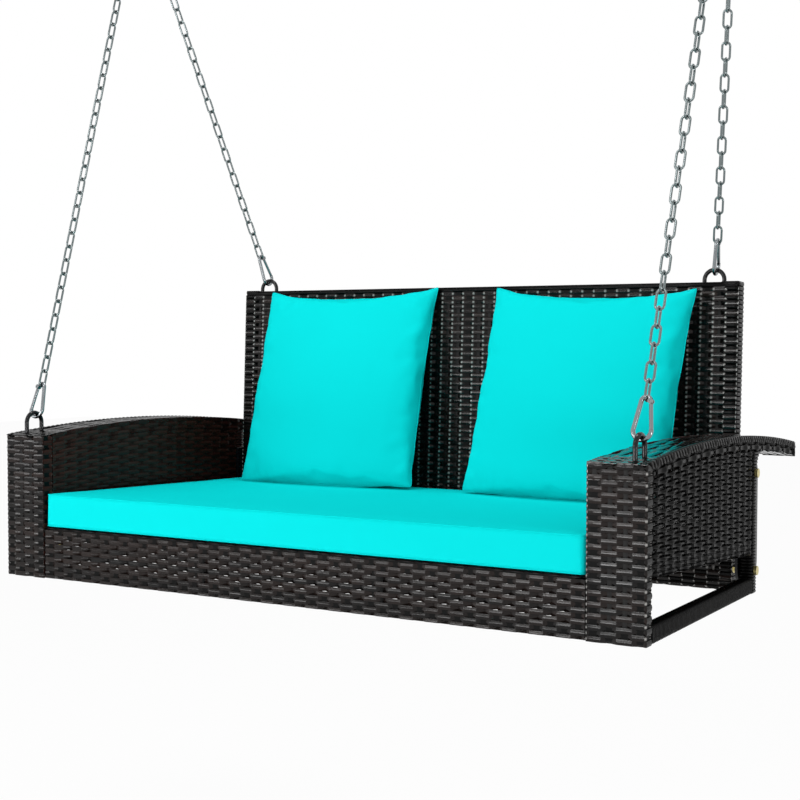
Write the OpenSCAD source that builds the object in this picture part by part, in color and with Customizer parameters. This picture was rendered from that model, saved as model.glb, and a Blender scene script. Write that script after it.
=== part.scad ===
// Hanging porch swing seat: woven arms, seat and back on steel tube frames,
// hung on four chains from two ceiling hangers, with a seat cushion and two pillows.
// Millimetres. +X is to the right of someone facing the seat, -Y is its front, +Z is up.
// The origin lies under the middle of the arms, level with the lowest edge of the back.

/* [Arms] */
// outer width over both arms
swing_w = 1270; // [1200:10:1400]
// depth from the front posts to the rear tips of the arm tops
arm_depth = 786; // [770:2:830]
// height of a front post at its face
post_h = 264; // [255:1:285]
// width of a front post
post_w = 95; // [90:1:105]
// rise of the arm top from the post face to its crown
arm_rise = 17; // [12:1:24]
// depth from the post face to the crown of the arm top
crown_y = 332; // [300:2:360]
// depth from the post face to the back of the rear upright
upright_y = 540; // [520:2:560]
// height of the woven side's lower edge at the post
side_low_front = 97; // [90:1:105]
// height of the woven side's lower edge at the rear upright
side_low_rear = 68; // [60:1:80]
// how much narrower an arm is at its inner panel's rear end
arm_taper = 26; // [24:1:32]
// depth at which the inner panel ends
inner_panel_y = 620; // [616:1:622]
// radius of the fillet between the rear upright and the arm top
notch_r = 28; // [15:1:32]

/* [Tubes and weave] */
// side of the square tubes in the arms and the seat
tube = 20; // [18:1:22]
// side of the square tubes in the back
back_tube = 28; // [24:1:30]
// wall of every tube
wall = 1.2; // [1:0.1:2]
// thickness of the woven layer
weave_t = 3; // [2:0.5:4]

/* [Seat] */
// fall of the seat towards the back, in degrees
seat_tilt = 1.6; // [0:0.1:3]
// height of the seat deck at its front edge, over the bottom rails
deck_z = 97; // [92:1:102]
// how far the apron stands back from the post faces
apron_recess = 2; // [1:0.5:4]
// half width of the slit between the apron and each post
apron_slit = 1.5; // [1:0.5:3]
// bearers under the deck
bearers = 3; // [2:1:5]

/* [Back] */
// clearance between each end of the back and the inner face of an arm
back_clear = 4; // [2:1:10]
// height of the back panel along its slope
back_h = 570.5; // [540:0.5:620]
// lean of the back, in degrees
recline = 2.44; // [1:0.1:4]
// depth from the post faces to the foot of the back's front
back_foot_y = 630; // [628:1:640]
// how far the back hangs below the bottom rails
back_drop = 18; // [10:1:24]

/* [Eyes and hooks] */
// diameter of the rod of the welded eyes
eye_rod = 8; // [6:0.5:9]
// centre line radius of an eye's bow
eye_bow_r = 19; // [17:0.5:22]
// height of a front eye's bow centre over the arm top
front_eye_rise = 16.5; // [12:0.5:24]
// height of a back eye's bow centre over the back's top edge
back_eye_rise = 4; // [1:0.5:10]
// inset of a front eye from the arm's outer face
front_eye_inset = 29; // [27:1:34]
// depth of a front eye's middle behind the post face
front_eye_y = 44; // [36:1:52]
// inset of a back eye from the end of the back
back_eye_inset = 52; // [40:1:70]
// wire diameter of a snap hook
hook_wire = 7; // [6:0.5:7.5]
// centre line radius of a snap hook's wide end
hook_wide_r = 14; // [13:0.5:17]
// centre line radius of a snap hook's narrow end
hook_narrow_r = 7.5; // [7:0.5:9]
// distance between the centres of a snap hook's two ends
hook_centres = 44; // [40:1:60]
// diameter of a snap hook's gate
gate_d = 6; // [5:0.5:6.5]
// diameter of the pin that carries a gate
gate_pin_d = 3; // [2.5:0.5:3.5]

/* [Chains] */
// wire diameter of the chain links
link_wire = 4; // [3.5:0.1:4.5]
// outer width of a link
link_w = 18; // [17:0.5:20]
// inner length of a link, which is the chain's pitch, before the links are evened out
link_pitch = 28; // [26:0.5:32]

/* [Hangers] */
// inset of the hanger's pin middle from the outer face of the arms
hang_inset = 5; // [0:1:30]
// depth of the hanger pin behind the post faces
hang_y = 381; // [360:1:400]
// height of the hanger pin over the bottom rails
hang_z = 1370; // [1250:5:1600]
// diameter of the hanger pin
pin_d = 10; // [8:1:12]
// thickness of the swinging link plate
link_plate_t = 5; // [4:1:6]
// distance from the pin to the chain holes of the link plate
link_plate_reach = 45; // [42:1:60]
// diameter of the chain holes in the link plate
chain_hole_d = 11; // [10:0.5:12]
// width of the link plate's straps
strap_w = 24; // [22:1:28]
// thickness of the hanger's cheeks
cheek_t = 5; // [4:1:7]
// height of the ceiling plate's underside over the pin
cheek_h = 32; // [28:1:45]
// size of the ceiling plate across the seat
ceiling_plate_w = 60; // [50:1:80]
// size of the ceiling plate along the seat's depth
ceiling_plate_l = 120; // [110:1:150]
// thickness of the ceiling plate
ceiling_plate_t = 6; // [5:1:8]
// distance between the two ceiling screw holes
screw_spacing = 84; // [80:1:100]
// diameter of the ceiling screw holes
screw_hole_d = 9; // [7:0.5:11]

/* [Brackets and bolts] */
// thickness of the back brackets
bracket_t = 5; // [4:0.5:6]
// height of the back brackets' lower edge over the bottom rails' underside
bracket_low = 14; // [10:1:20]
// height of the back brackets
bracket_h = 218; // [190:1:220]
// corner radius of the back brackets
bracket_r = 30; // [10:1:34]
// diameter of the frame bolts
bolt_d = 8; // [6:1:8]
// diameter of a frame bolt's head
bolt_head_d = 16; // [13:1:17]
// thickness of a frame bolt's head
bolt_head_t = 5; // [4:0.5:6]
// height of the lower bolts in the rear uprights
bolt_low_z = 40; // [36:1:48]
// height of the upper bolts in the rear uprights
bolt_high_z = 211; // [180:1:212]
// diameter of the screws that hold the brackets to the back
screw_d = 6; // [5:0.5:6]
// distance of the rear seat bolts from the middle
seat_bolt_x = 300; // [200:5:400]

/* [Cushions] */
// thickness of the seat cushion at its edge
cushion_t = 56; // [40:1:60]
// rise of the seat cushion's crown
cushion_crown = 6; // [3:1:12]
// side of a pillow from corner to corner
pillow_w = 430; // [400:2:460]
// thickness of a pillow in its middle
pillow_t = 132; // [100:2:150]
// lean of a pillow against the back, in degrees
pillow_lean = 13; // [8:0.5:16]
// distance of the left pillow's middle from the centre
left_pillow_x = 267; // [230:1:290]
// distance of the right pillow's middle from the centre
right_pillow_x = 276; // [230:1:290]

/* [Hidden] */
eps = 1;                 // how far a cutter runs past what it cuts
joint = 0.05;            // gap left by a weld or a laid-on cover
seat_gap = 0.3;          // gap between a soft piece and what it rests on
run_fit = 0.05;          // radial clearance of a turning pin
bolt_fit = 0.2;          // radial clearance of a clamped bolt
chain_slack = 0.1;       // gap where a link, hook or eye bears on the next
thread_out = 1;          // how far a bolt stands out of its nut
round_fn = 32;           // facets of small rounds
arc_fn = 1440;           // facets of the arm top's arc

member = tube + 2 * weave_t;             // a wrapped tube
base_z = back_drop + (back_tube + 2 * weave_t) * sin(recline);  // bottom rails over the lowest edge
arm_x = swing_w / 2;                     // outer face of an arm
arm_in_x = arm_x - post_w;               // inner face of a post
taper_rate = arm_taper / inner_panel_y;  // inward face's drift per unit of depth
arc_r = (crown_y * crown_y + arm_rise * arm_rise) / (2 * arm_rise);
arc_z = post_h + arm_rise - arc_r;       // centre height of the arm top's arc
arm_span = arm_depth + 2 * eps;
back_half_w = arm_in_x + arm_taper - back_clear;  // half width of the back
front_rail_y = apron_recess + weave_t;   // front of the apron's tubes
deck_rail_y = front_rail_y + member * sin(seat_tilt) + joint;  // front of the tubes under the deck
low_rate = (side_low_front - side_low_rear) / (upright_y - member);
deck_room = 1;                           // between the deck and the seat's rear rail
rear_rail_c = back_drop + deck_z - inner_panel_y * sin(seat_tilt) - weave_t - tube / 2 - deck_room;
back_d = back_tube + 2 * weave_t;        // thickness of the back panel
hang_x = arm_x - hang_inset;
web_y = inner_panel_y + weave_t;         // front of the brackets' cross web
foot_depth = 36;                         // length of a bracket's foot along the back
nut_t = 6.5;                             // thickness of a nut
nut_w = 1.85;                            // width over a nut's corners, in thread diameters
bearer_step = 2 * arm_in_x / (bearers + 1);

// height of the arm top's surface, less a depth under it, at a depth y
function arc_height(y, under = 0) = arc_z + sqrt(pow(arc_r - under, 2) - pow(y - crown_y, 2));
// inner face of an arm at a depth y
function inner_x(y) = arm_in_x + y * taper_rate;
// lower edge of an arm's woven sides at a depth y
function low_edge(y) = side_low_front - (y - member) * low_rate;
// depth of the back's front face at a height z over the bottom rails
function back_face_y(z) = back_foot_y + (z + back_drop) * tan(recline);

// ---------------------------------------------------------------- frames of reference

// from the seat's own coordinates (post faces at y 0, bottom rails at z 0) to the part's
module part_frame() translate([0, -arm_depth / 2, base_z]) children();

// the seat deck's coordinates: its top surface is z 0, its front edge y 0
module deck_frame() translate([0, 0, deck_z]) rotate([-seat_tilt, 0, 0]) children();

// the back's coordinates: its front face is y 0, its lower edge z 0
module back_frame_of() translate([0, back_foot_y, -back_drop]) rotate([-recline, 0, 0]) children();

// the right-hand piece as drawn, or its mirror image on the left
module on_side(side) mirror([side < 0 ? 1 : 0, 0, 0]) children();

// ---------------------------------------------------------------- shared shapes

// a square tube along X, Y or Z, from its lowest corner, open at both ends
module tube_x(len, side = tube) {
    difference() {
        cube([len, side, side]);
        translate([-eps, wall, wall]) cube([len + 2 * eps, side - 2 * wall, side - 2 * wall]);
    }
}

module tube_y(len, side = tube) mirror([1, -1, 0]) tube_x(len, side);

module tube_z(len, side = tube) mirror([1, 0, -1]) tube_x(len, side);

// everything between the middle and a distance x1 that lies deeper than a given depth
// under the arm top's surface
module under_arc(under, x1 = arm_x + eps) {
    translate([0, crown_y, arc_z])
        rotate([0, 90, 0])
            cylinder(r = arc_r - under, h = x1, $fn = arc_fn);
}

// side profile drawn in Y and Z, given a thickness along X from x0 to x1
module along_x(x0, x1) translate([x0, 0, 0]) rotate([90, 0, 90]) linear_extrude(x1 - x0) children();

// upright prism over a plan strip, between two distances from the arm's inner face
module inner_strip(d0, d1, y0, y1) {
    linear_extrude(post_h + arm_rise + eps)
        polygon([[inner_x(y0) + d0, y0], [inner_x(y0) + d1, y0], [inner_x(y1) + d1, y1], [inner_x(y1) + d0, y1]]);
}

// a curved band of the arm top, between two depths under its surface
module arc_band(x0, x1, y0, y1, under0, under1) {
    intersection() {
        translate([x0, y0, 0]) cube([x1 - x0, y1 - y0, post_h + arm_rise + eps]);
        difference() {
            under_arc(under0);
            translate([-eps, 0, 0]) under_arc(under1, arm_x + 3 * eps);
        }
    }
}

// a curved band that follows the arm's tapered inner face
module inner_arc_band(d0, d1, y0, y1, under0, under1) {
    intersection() {
        arc_band(arm_in_x - eps, arm_x, y0, y1, under0, under1);
        inner_strip(d0, d1, y0, y1);
    }
}

// profile of a sloping rail that starts a given height over the side's lower edge
module low_profile(y0, y1, z0, z1) {
    polygon([
        [y0, low_edge(y0) + z0],
        [y1, low_edge(y1) + z0],
        [y1, low_edge(y1) + z1],
        [y0, low_edge(y0) + z1]
    ]);
}

// room for the sloping rails where they run through a woven cover
module low_rail_room(y0, y1) {
    along_x(arm_in_x + weave_t, arm_x - weave_t)
        low_profile(y0, y1, weave_t - joint, weave_t + tube + joint);
}

// a bolt along +X, its head's underside at x 0 and its shank running to -X
module bolt(len, d = bolt_d, head_d = bolt_head_d, head_t = bolt_head_t) {
    rotate([0, 90, 0]) cylinder(d = head_d, h = head_t, $fn = round_fn);
    translate([-len, 0, 0]) rotate([0, 90, 0]) cylinder(d = d, h = len, $fn = round_fn);
}

// a hexagon nut along X, its face at x 0, running to -X
module nut(d = bolt_d) {
    translate([-nut_t, 0, 0])
        rotate([0, 90, 0])
            difference() {
                cylinder(d = nut_w * d, h = nut_t, $fn = 6);
                translate([0, 0, -eps]) cylinder(d = d + 2 * run_fit, h = nut_t + 2 * eps, $fn = round_fn);
            }
}

// a bolt hole along X through x0 to x1
module hole_x(x0, x1, d = bolt_d) {
    translate([x0, 0, 0]) rotate([0, 90, 0]) cylinder(d = d + 2 * bolt_fit, h = x1 - x0, $fn = round_fn);
}

// ---------------------------------------------------------------- arms

outer_tube_x = arm_x - weave_t - tube;   // inner face of the tubes in an arm's outer plane
upright_tube_y = upright_y - weave_t - tube;
inner_upright_y = inner_panel_y - weave_t - tube;
tie_room = 8;                            // between the rear upright's wrap and the tie
tie_y = upright_y - 2 * member - tie_room;  // depth of the tie between the two lower rails
bar_t = tube / 3;                        // thickness of the bars across the arm top
eye_bar_y0 = front_eye_y - eye_bow_r - eye_rod;
eye_bar_y1 = front_eye_y + eye_bow_r + eye_rod;
upright_bolt_y = upright_y - member / 2;
screw_head_d = 2 * screw_d;
screw_head_t = 0.6 * screw_d;

// the two bolt axes through a rear upright
module at_upright_bolts() {
    for (z = [bolt_low_z, bolt_high_z]) translate([0, upright_bolt_y, z]) children();
}

// the bolt axis that joins the seat to a front post
module at_post_bolt() translate([0, front_rail_y + tube / 2, (tube + deck_z) / 2 - weave_t]) children();

// a vertical tube from the bottom up to the underside of the curved rail
module arm_upright(x, y, z0) {
    intersection() {
        translate([x, y, z0]) tube_z(post_h + arm_rise);
        under_arc(weave_t + tube + joint);
    }
}

// a sloping lower rail between two depths, as a tube along the outer or inner plane
module low_rail(y0, y1) {
    difference() {
        intersection() {
            along_x(arm_in_x - eps, arm_x) low_profile(y0, y1, weave_t, weave_t + tube);
            children(0);
        }
        intersection() {
            along_x(arm_in_x - eps, arm_x)
                low_profile(y0 - eps, y1 + eps, weave_t + wall, weave_t + tube - wall);
            children(1);
        }
    }
}

module outer_strip(d0, d1) {
    translate([arm_x - d1, 0, 0]) cube([d1 - d0, arm_span, post_h + arm_rise]);
}

module arm_frame_right() {
    difference() {
        union() {
            // front uprights and the tie across their feet
            arm_upright(outer_tube_x, weave_t, weave_t);
            arm_upright(arm_in_x + weave_t, weave_t, weave_t);
            translate([arm_in_x + weave_t + tube + joint, weave_t, weave_t])
                tube_x(post_w - 2 * (weave_t + tube + joint));
            // rear uprights in the outer and the inner plane
            arm_upright(outer_tube_x, upright_tube_y, weave_t);
            arm_upright(inner_x(inner_upright_y + tube) + weave_t, inner_upright_y,
                low_edge(inner_upright_y) + weave_t + joint);
            // bottom rail
            translate([outer_tube_x, weave_t + tube + joint, weave_t])
                tube_y(upright_tube_y - weave_t - tube - 2 * joint);
            // sloping rails under the woven sides
            low_rail(weave_t + tube + joint, upright_tube_y - joint) {
                outer_strip(weave_t, weave_t + tube);
                outer_strip(weave_t + wall, weave_t + tube - wall);
            }
            low_rail(weave_t + tube + joint, inner_upright_y - joint) {
                inner_strip(weave_t, weave_t + tube, 0, arm_span);
                inner_strip(weave_t + wall, weave_t + tube - wall, -eps, arm_span);
            }
            // curved rails of the arm top
            difference() {
                arc_band(outer_tube_x, arm_x - weave_t, weave_t, arm_depth - weave_t, weave_t, weave_t + tube);
                arc_band(outer_tube_x + wall, arm_x - weave_t - wall, -eps, arm_span,
                    weave_t + wall, weave_t + tube - wall);
            }
            difference() {
                inner_arc_band(weave_t, weave_t + tube, weave_t, arm_depth - weave_t, weave_t, weave_t + tube);
                inner_arc_band(weave_t + wall, weave_t + tube - wall, -eps, arm_span,
                    weave_t + wall, weave_t + tube - wall);
            }
            // cross bars between the curved rails: under the eye, at the upright and at the tip
            cross_bar(eye_bar_y0, eye_bar_y1, weave_t, weave_t + bar_t);
            cross_bar(upright_tube_y, upright_tube_y + tube, weave_t, weave_t + bar_t);
            cross_bar(arm_depth - weave_t - tube, arm_depth - weave_t, weave_t, weave_t + bar_t);
            // tie between the two sloping rails
            translate([inner_x(tie_y + tube) + weave_t + tube + joint, tie_y, low_edge(tie_y) + weave_t])
                tube_x(outer_tube_x - inner_x(tie_y + tube) - weave_t - tube - 2 * joint);
        }
        at_upright_bolts() hole_x(outer_tube_x - eps, arm_x);
        at_post_bolt() hole_x(arm_in_x, arm_in_x + weave_t + tube + eps);
    }
}

module cross_bar(y0, y1, under0, under1) {
    intersection() {
        arc_band(arm_in_x, outer_tube_x - joint, y0, y1, under0, under1);
        inner_strip(weave_t + tube + joint, post_w, y0, y1);
    }
}

module arm_frame(side) color("dimgray") part_frame() on_side(side) arm_frame_right();

// woven box round the two front uprights
module post_weave(side) {
    color("saddlebrown") part_frame() on_side(side)
        difference() {
            intersection() {
                translate([arm_in_x, 0, 0]) cube([post_w, member, post_h]);
                under_arc(member + joint);
            }
            translate([arm_in_x + weave_t, weave_t, weave_t])
                cube([post_w - 2 * weave_t, tube, post_h]);
            translate([outer_tube_x, weave_t, weave_t]) cube([tube, member, tube]);
            low_rail_room(weave_t, member + eps);
            at_post_bolt() hole_x(arm_in_x - eps, arm_in_x + weave_t + eps);
        }
}

// woven sleeve of the curved arm top, let over the uprights and round the eye's feet
module top_weave(side) {
    color("sienna") part_frame() on_side(side)
        difference() {
            inner_arc_band(0, post_w, 0, arm_depth, 0, member);
            inner_arc_band_clipped(weave_t, weave_t, arm_depth - weave_t, weave_t, weave_t + tube);
            for (x = [arm_in_x + weave_t, outer_tube_x]) upright_slot(x, weave_t);
            upright_slot(outer_tube_x, upright_tube_y);
            upright_slot(inner_x(inner_upright_y + tube) + weave_t, inner_upright_y);
            front_eye_legs(bolt_fit);
        }
}

// the hollow of the arm top: the tapered band, stopped short of the outer face
module inner_arc_band_clipped(d0, y0, y1, under0, under1) {
    intersection() {
        arc_band(arm_in_x - eps, arm_x - weave_t, y0, y1, under0, under1);
        inner_strip(d0, post_w, y0, y1);
    }
}

module upright_slot(x, y) translate([x, y, side_low_front]) cube([tube, tube, post_h - side_low_front]);

// woven wrap of the bottom rail and the rear upright, with the fillet under the arm top
module rail_weave(side) {
    color("saddlebrown") part_frame() on_side(side)
        difference() {
            union() {
                translate([arm_x - member, member + joint, 0])
                    cube([member, upright_y - member - joint, member]);
                intersection() {
                    along_x(arm_x - member, arm_x) notch_profile();
                    under_arc(member + joint);
                }
            }
            translate([outer_tube_x, 0, weave_t]) cube([tube, upright_y - weave_t, tube]);
            translate([outer_tube_x, upright_tube_y, weave_t]) cube([tube, tube, post_h + arm_rise]);
            low_rail_room(upright_y - member - eps, upright_y - weave_t);
            at_upright_bolts() hole_x(arm_x - member - eps, arm_x + eps);
        }
}

// the rear upright's outline with the concave fillet that runs out under the arm top
module notch_profile() {
    notch_z = arc_height(upright_y + notch_r, member) - notch_r;
    translate([upright_y - member, 0]) square([member, post_h + arm_rise]);
    difference() {
        translate([upright_y - eps, notch_z]) square([notch_r + eps, 2 * notch_r]);
        translate([upright_y + notch_r, notch_z]) circle(r = notch_r, $fn = 2 * round_fn);
    }
}

// woven outer side of an arm, with the strip that covers the sloping rail from below
module side_weave(side) {
    y0 = member + joint;
    y1 = upright_y - member - joint;
    color("peru") part_frame() on_side(side)
        intersection() {
            union() {
                along_x(arm_x - weave_t, arm_x) low_profile(y0, y1, 0, post_h);
                along_x(arm_x - member, arm_x - weave_t) low_profile(y0, y1, 0, weave_t);
            }
            under_arc(member + joint);
        }
}

// woven inner side of an arm
module inner_weave(side) {
    y0 = member + joint;
    color("peru") part_frame() on_side(side)
        intersection() {
            union() {
                intersection() {
                    along_x(arm_in_x, arm_x) low_profile(y0, inner_panel_y, 0, post_h);
                    inner_strip(0, weave_t, 0, inner_panel_y);
                }
                intersection() {
                    along_x(arm_in_x, arm_x) low_profile(y0, inner_panel_y, 0, weave_t);
                    inner_strip(weave_t, member, 0, inner_panel_y);
                }
            }
            under_arc(member + joint);
        }
}

// ---------------------------------------------------------------- seat

module seat_frame() {
    color("dimgray") part_frame()
        difference() {
            union() {
                deck_frame() translate([0, 0, -weave_t - tube]) {
                    for (side = [-1, 1]) on_side(side) {
                        translate([arm_in_x - tube, deck_rail_y, 0]) tube_y(inner_panel_y);
                    }
                    translate([-arm_in_x + tube + joint, deck_rail_y, 0])
                        tube_x(2 * (arm_in_x - tube - joint));
                    for (i = [1 : bearers]) {
                        translate([-arm_in_x + i * bearer_step - tube / 2, deck_rail_y + tube + joint, 0])
                            tube_y(inner_panel_y);
                    }
                }
                // apron: lower rail and its four studs
                translate([-arm_in_x + tube + joint, front_rail_y, weave_t])
                    tube_x(2 * (arm_in_x - tube - joint));
                for (side = [-1, 1]) on_side(side) {
                    apron_stud(arm_in_x - tube, weave_t);
                    apron_stud(arm_in_x / 3 - tube / 2, weave_t + tube + joint);
                }
            }
            back_frame_of() translate([-arm_x, -tube - 2 * joint, 0]) cube([swing_w, 2 * arm_depth, back_h]);
            for (side = [-1, 1]) on_side(side) at_post_bolt() hole_x(arm_in_x - tube - eps, arm_in_x + eps);
        }
    color("dimgray") part_frame() seat_rear_rail();
}

// a vertical tube of the apron, up to the underside of the seat's front rail
module apron_stud(x, z0) {
    top = deck_z - weave_t - tube - (deck_rail_y + tube) * sin(seat_tilt) - joint;
    translate([x, front_rail_y, z0]) tube_z(top - z0);
}

// the seat's rear rail lies flat against the back
module seat_rear_rail() {
    difference() {
        back_frame_of() translate([-arm_in_x, -tube - joint, rear_rail_c - tube / 2]) tube_x(2 * arm_in_x);
        seat_bolt_holes();
    }
}

// places a child on each rear seat bolt's axis, turned from X to the back's depth
module at_seat_bolts() {
    back_frame_of()
        for (x = [-seat_bolt_x, seat_bolt_x])
            translate([x, -tube - joint, rear_rail_c]) rotate([0, 0, -90]) children();
}

module seat_bolt_holes() at_seat_bolts() hole_x(-tube - back_d - eps, eps);

module deck_weave() {
    color("peru") part_frame()
        difference() {
            deck_frame()
                translate([-arm_in_x + apron_slit, apron_recess, -weave_t])
                    cube([2 * (arm_in_x - apron_slit), back_foot_y, weave_t]);
            back_frame_of() translate([-arm_x, -seat_gap, 0]) cube([swing_w, arm_depth, back_h]);
        }
}

module apron_weave() {
    top = deck_z - weave_t - front_rail_y * sin(seat_tilt) - joint;
    width = 2 * (arm_in_x - apron_slit);
    color("peru") part_frame()
        translate([-width / 2, apron_recess, 0])
            difference() {
                union() {
                    cube([width, weave_t, top]);
                    cube([width, member, member]);
                }
                translate([-eps, weave_t, weave_t]) cube([width + 2 * eps, tube, tube]);
                translate([-eps, weave_t, weave_t + tube / 2]) cube([width + 2 * eps, tube, tube]);
            }
}

// ---------------------------------------------------------------- back

back_post_x = back_half_w - weave_t - back_tube;  // inner face of the back's side posts
back_top_z = back_h - weave_t - back_tube;        // underside of the back's top rail
foot_inset = 1.5 * bracket_r;                     // of the foot's screws from the bracket's ends

module back_frame() {
    color("dimgray") part_frame()
        difference() {
            back_frame_of() translate([0, weave_t, 0]) {
                for (side = [-1, 1]) on_side(side)
                    translate([back_post_x, 0, weave_t]) tube_z(back_h - 2 * weave_t, back_tube);
                for (z = [weave_t, rear_rail_c - back_tube / 2, back_top_z])
                    translate([-back_post_x + joint, 0, z]) tube_x(2 * (back_post_x - joint), back_tube);
                translate([-back_tube / 2, 0, rear_rail_c + back_tube / 2 + joint])
                    tube_z(back_top_z - rear_rail_c - back_tube / 2 - 2 * joint, back_tube);
            }
            seat_bolt_holes();
            for (side = [-1, 1]) on_side(side)
                at_foot_screws() hole_x(back_post_x + wall, back_half_w, screw_d);
        }
}

module back_weave() {
    color("peru") part_frame()
        difference() {
            back_frame_of() translate([-back_half_w, 0, 0]) cube([2 * back_half_w, weave_t - joint, back_h]);
            seat_bolt_holes();
        }
}

// wrap round the back's outer tubes: their outer, rear and inner faces
module back_edge_weave() {
    inner_x0 = back_post_x - weave_t;
    color("sienna") part_frame()
        difference() {
            back_frame_of() difference() {
                translate([-back_half_w, weave_t, 0]) cube([2 * back_half_w, back_tube + weave_t, back_h]);
                translate([-inner_x0, 0, back_tube + 2 * weave_t])
                    cube([2 * inner_x0, 2 * back_d, back_h - 2 * (back_tube + 2 * weave_t)]);
                difference() {
                    translate([weave_t - back_half_w, 0, weave_t])
                        cube([2 * (back_half_w - weave_t), weave_t + back_tube, back_h - 2 * weave_t]);
                    translate([-back_post_x, 0, weave_t + back_tube])
                        cube([2 * back_post_x, back_d, back_h - 2 * (weave_t + back_tube)]);
                }
                // room for the ends of the rail at the seat's height
                translate([-back_post_x, 0, rear_rail_c - back_tube / 2])
                    cube([2 * back_post_x, weave_t + back_tube, back_tube]);
                translate([-back_tube / 2, 0, rear_rail_c])
                    cube([back_tube, weave_t + back_tube, back_top_z - rear_rail_c]);
                for (x = [-back_eye_x, back_eye_x]) back_eye_legs(x, bolt_fit);
            }
            for (side = [-1, 1]) on_side(side)
                at_foot_screws() hole_x(back_half_w - weave_t - eps, back_half_w + eps, screw_d);
        }
}

// the two screw axes through a bracket's foot into the back's side post
module at_foot_screws() {
    for (z = [bracket_low + foot_inset, bracket_low + bracket_h - foot_inset])
        translate([0, back_face_y(z) + back_d / 2, z]) children();
}

// bent steel bracket: a plate on the rear upright, a web, and a foot on the end of the back
module back_bracket(side) {
    outer = arm_x - member;
    low = bracket_low + bracket_r;
    high = bracket_low + bracket_h - bracket_r;
    color("dimgray") part_frame() on_side(side)
        difference() {
            union() {
                intersection() {
                    along_x(outer - bracket_t, outer) bracket_profile();
                    translate([0, 0, bracket_low]) cube([arm_x, arm_depth, bracket_h]);
                }
                translate([back_half_w, web_y, low]) cube([outer - back_half_w, bracket_t, high - low]);
                translate([back_half_w, web_y, low]) cube([bracket_t, foot_depth, high - low]);
            }
            at_upright_bolts() hole_x(outer - bracket_t - eps, outer + eps);
            at_foot_screws() hole_x(back_half_w - eps, back_half_w + bracket_t + eps, screw_d);
        }
}

// rounded outline of the bracket's long plate
module bracket_profile() {
    y0 = upright_y - member - weave_t;
    y1 = web_y + bracket_t;
    for (z = [bracket_low + bracket_r, bracket_low + bracket_h - bracket_r])
        for (y = [y0 + bracket_r, y1 - bracket_r])
            translate([y, z]) circle(r = bracket_r, $fn = 2 * round_fn);
    translate([y0 + bracket_r, bracket_low]) square([y1 - y0 - 2 * bracket_r, bracket_h]);
    translate([y0, bracket_low + bracket_r]) square([y1 - y0, bracket_h - 2 * bracket_r]);
}

// ---------------------------------------------------------------- bolts

module upright_bolts() {
    color("gold") part_frame() for (side = [-1, 1]) on_side(side)
        at_upright_bolts() translate([arm_x, 0, 0]) bolt(member + bracket_t + nut_t + thread_out);
}

module upright_nuts() {
    color("gold") part_frame() for (side = [-1, 1]) on_side(side)
        at_upright_bolts() translate([arm_x - member - bracket_t, 0, 0]) nut();
}

module foot_screws() {
    color("gold") part_frame() for (side = [-1, 1]) on_side(side)
        at_foot_screws() translate([back_half_w + bracket_t, 0, 0])
            bolt(bracket_t + weave_t + back_tube - 2 * wall, screw_d, screw_head_d, screw_head_t);
}

module seat_bolts() {
    color("gold") part_frame() {
        for (side = [-1, 1]) on_side(side)
            at_post_bolt() translate([arm_in_x - tube, 0, 0]) mirror([1, 0, 0])
                bolt(2 * tube + weave_t + nut_t + thread_out);
        at_seat_bolts() bolt(tube + weave_t + back_tube + nut_t + thread_out + joint);
    }
}

module seat_nuts() {
    color("gold") part_frame() {
        for (side = [-1, 1]) on_side(side)
            at_post_bolt() translate([arm_in_x + weave_t + tube, 0, 0]) mirror([1, 0, 0]) nut();
        at_seat_bolts() translate([-tube - weave_t - back_tube - joint, 0, 0]) nut();
    }
}

// ---------------------------------------------------------------- welded eyes

front_eye_x = arm_x - front_eye_inset;
back_eye_x = back_half_w - back_eye_inset;
front_eye_z = arc_height(front_eye_y) + front_eye_rise;

// half loop of rod in the X-Z plane with straight legs, its bow centred on the origin
module eye_loop(leg, extra = 0) {
    rotate([90, 0, 0])
        rotate_extrude(angle = 180, $fn = 2 * round_fn)
            translate([eye_bow_r, 0]) circle(d = eye_rod + 2 * extra, $fn = round_fn);
    eye_legs(leg, extra);
}

module eye_legs(leg, extra = 0) {
    for (x = [-eye_bow_r, eye_bow_r])
        translate([x, 0, -leg]) cylinder(d = eye_rod + 2 * extra, h = leg, $fn = round_fn);
}

module front_eye_legs(extra) {
    translate([front_eye_x, front_eye_y, front_eye_z])
        rotate([0, 0, 90]) eye_legs(front_eye_rise + tube / 2, extra);
}

module front_eye(side) {
    color("black") part_frame() on_side(side)
        difference() {
            translate([front_eye_x, front_eye_y, front_eye_z])
                rotate([0, 0, 90]) eye_loop(front_eye_rise + tube / 2);
            under_arc(weave_t - joint);
        }
}

module back_eye_legs(x, extra) {
    translate([x, back_d / 2, back_h + back_eye_rise]) eye_legs(back_eye_rise + weave_t - joint, extra);
}

module back_eye(side) {
    color("black") part_frame() on_side(side) back_frame_of()
        translate([back_eye_x, back_d / 2, back_h + back_eye_rise])
            eye_loop(back_eye_rise + weave_t - joint);
}

// ---------------------------------------------------------------- snap hooks

flare = asin((hook_wide_r - hook_narrow_r) / hook_centres);  // slant of a hook's straight sides
gate_len = hook_centres * cos(flare);
ear_d = gate_pin_d + 5;    // of the ears that carry the gate's pin
knuckle_t = 3;             // thickness of the gate's knuckle
ear_gap = knuckle_t + 0.4; // slot between the ears for the knuckle
knuckle_d = gate_pin_d + 4;
catch_gap = 0.4;           // gap between the gate's tip and the wide end
hook_len = hook_wide_r + hook_centres + hook_narrow_r;

// seats a hook's wide end under an eye's bow and lines it up with the chain
module at_hook(e, b) {
    translate(e) rotate([lean_x(e, b), 0, 0]) rotate([0, lean_y(e, b), 0]) children();
}

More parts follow.
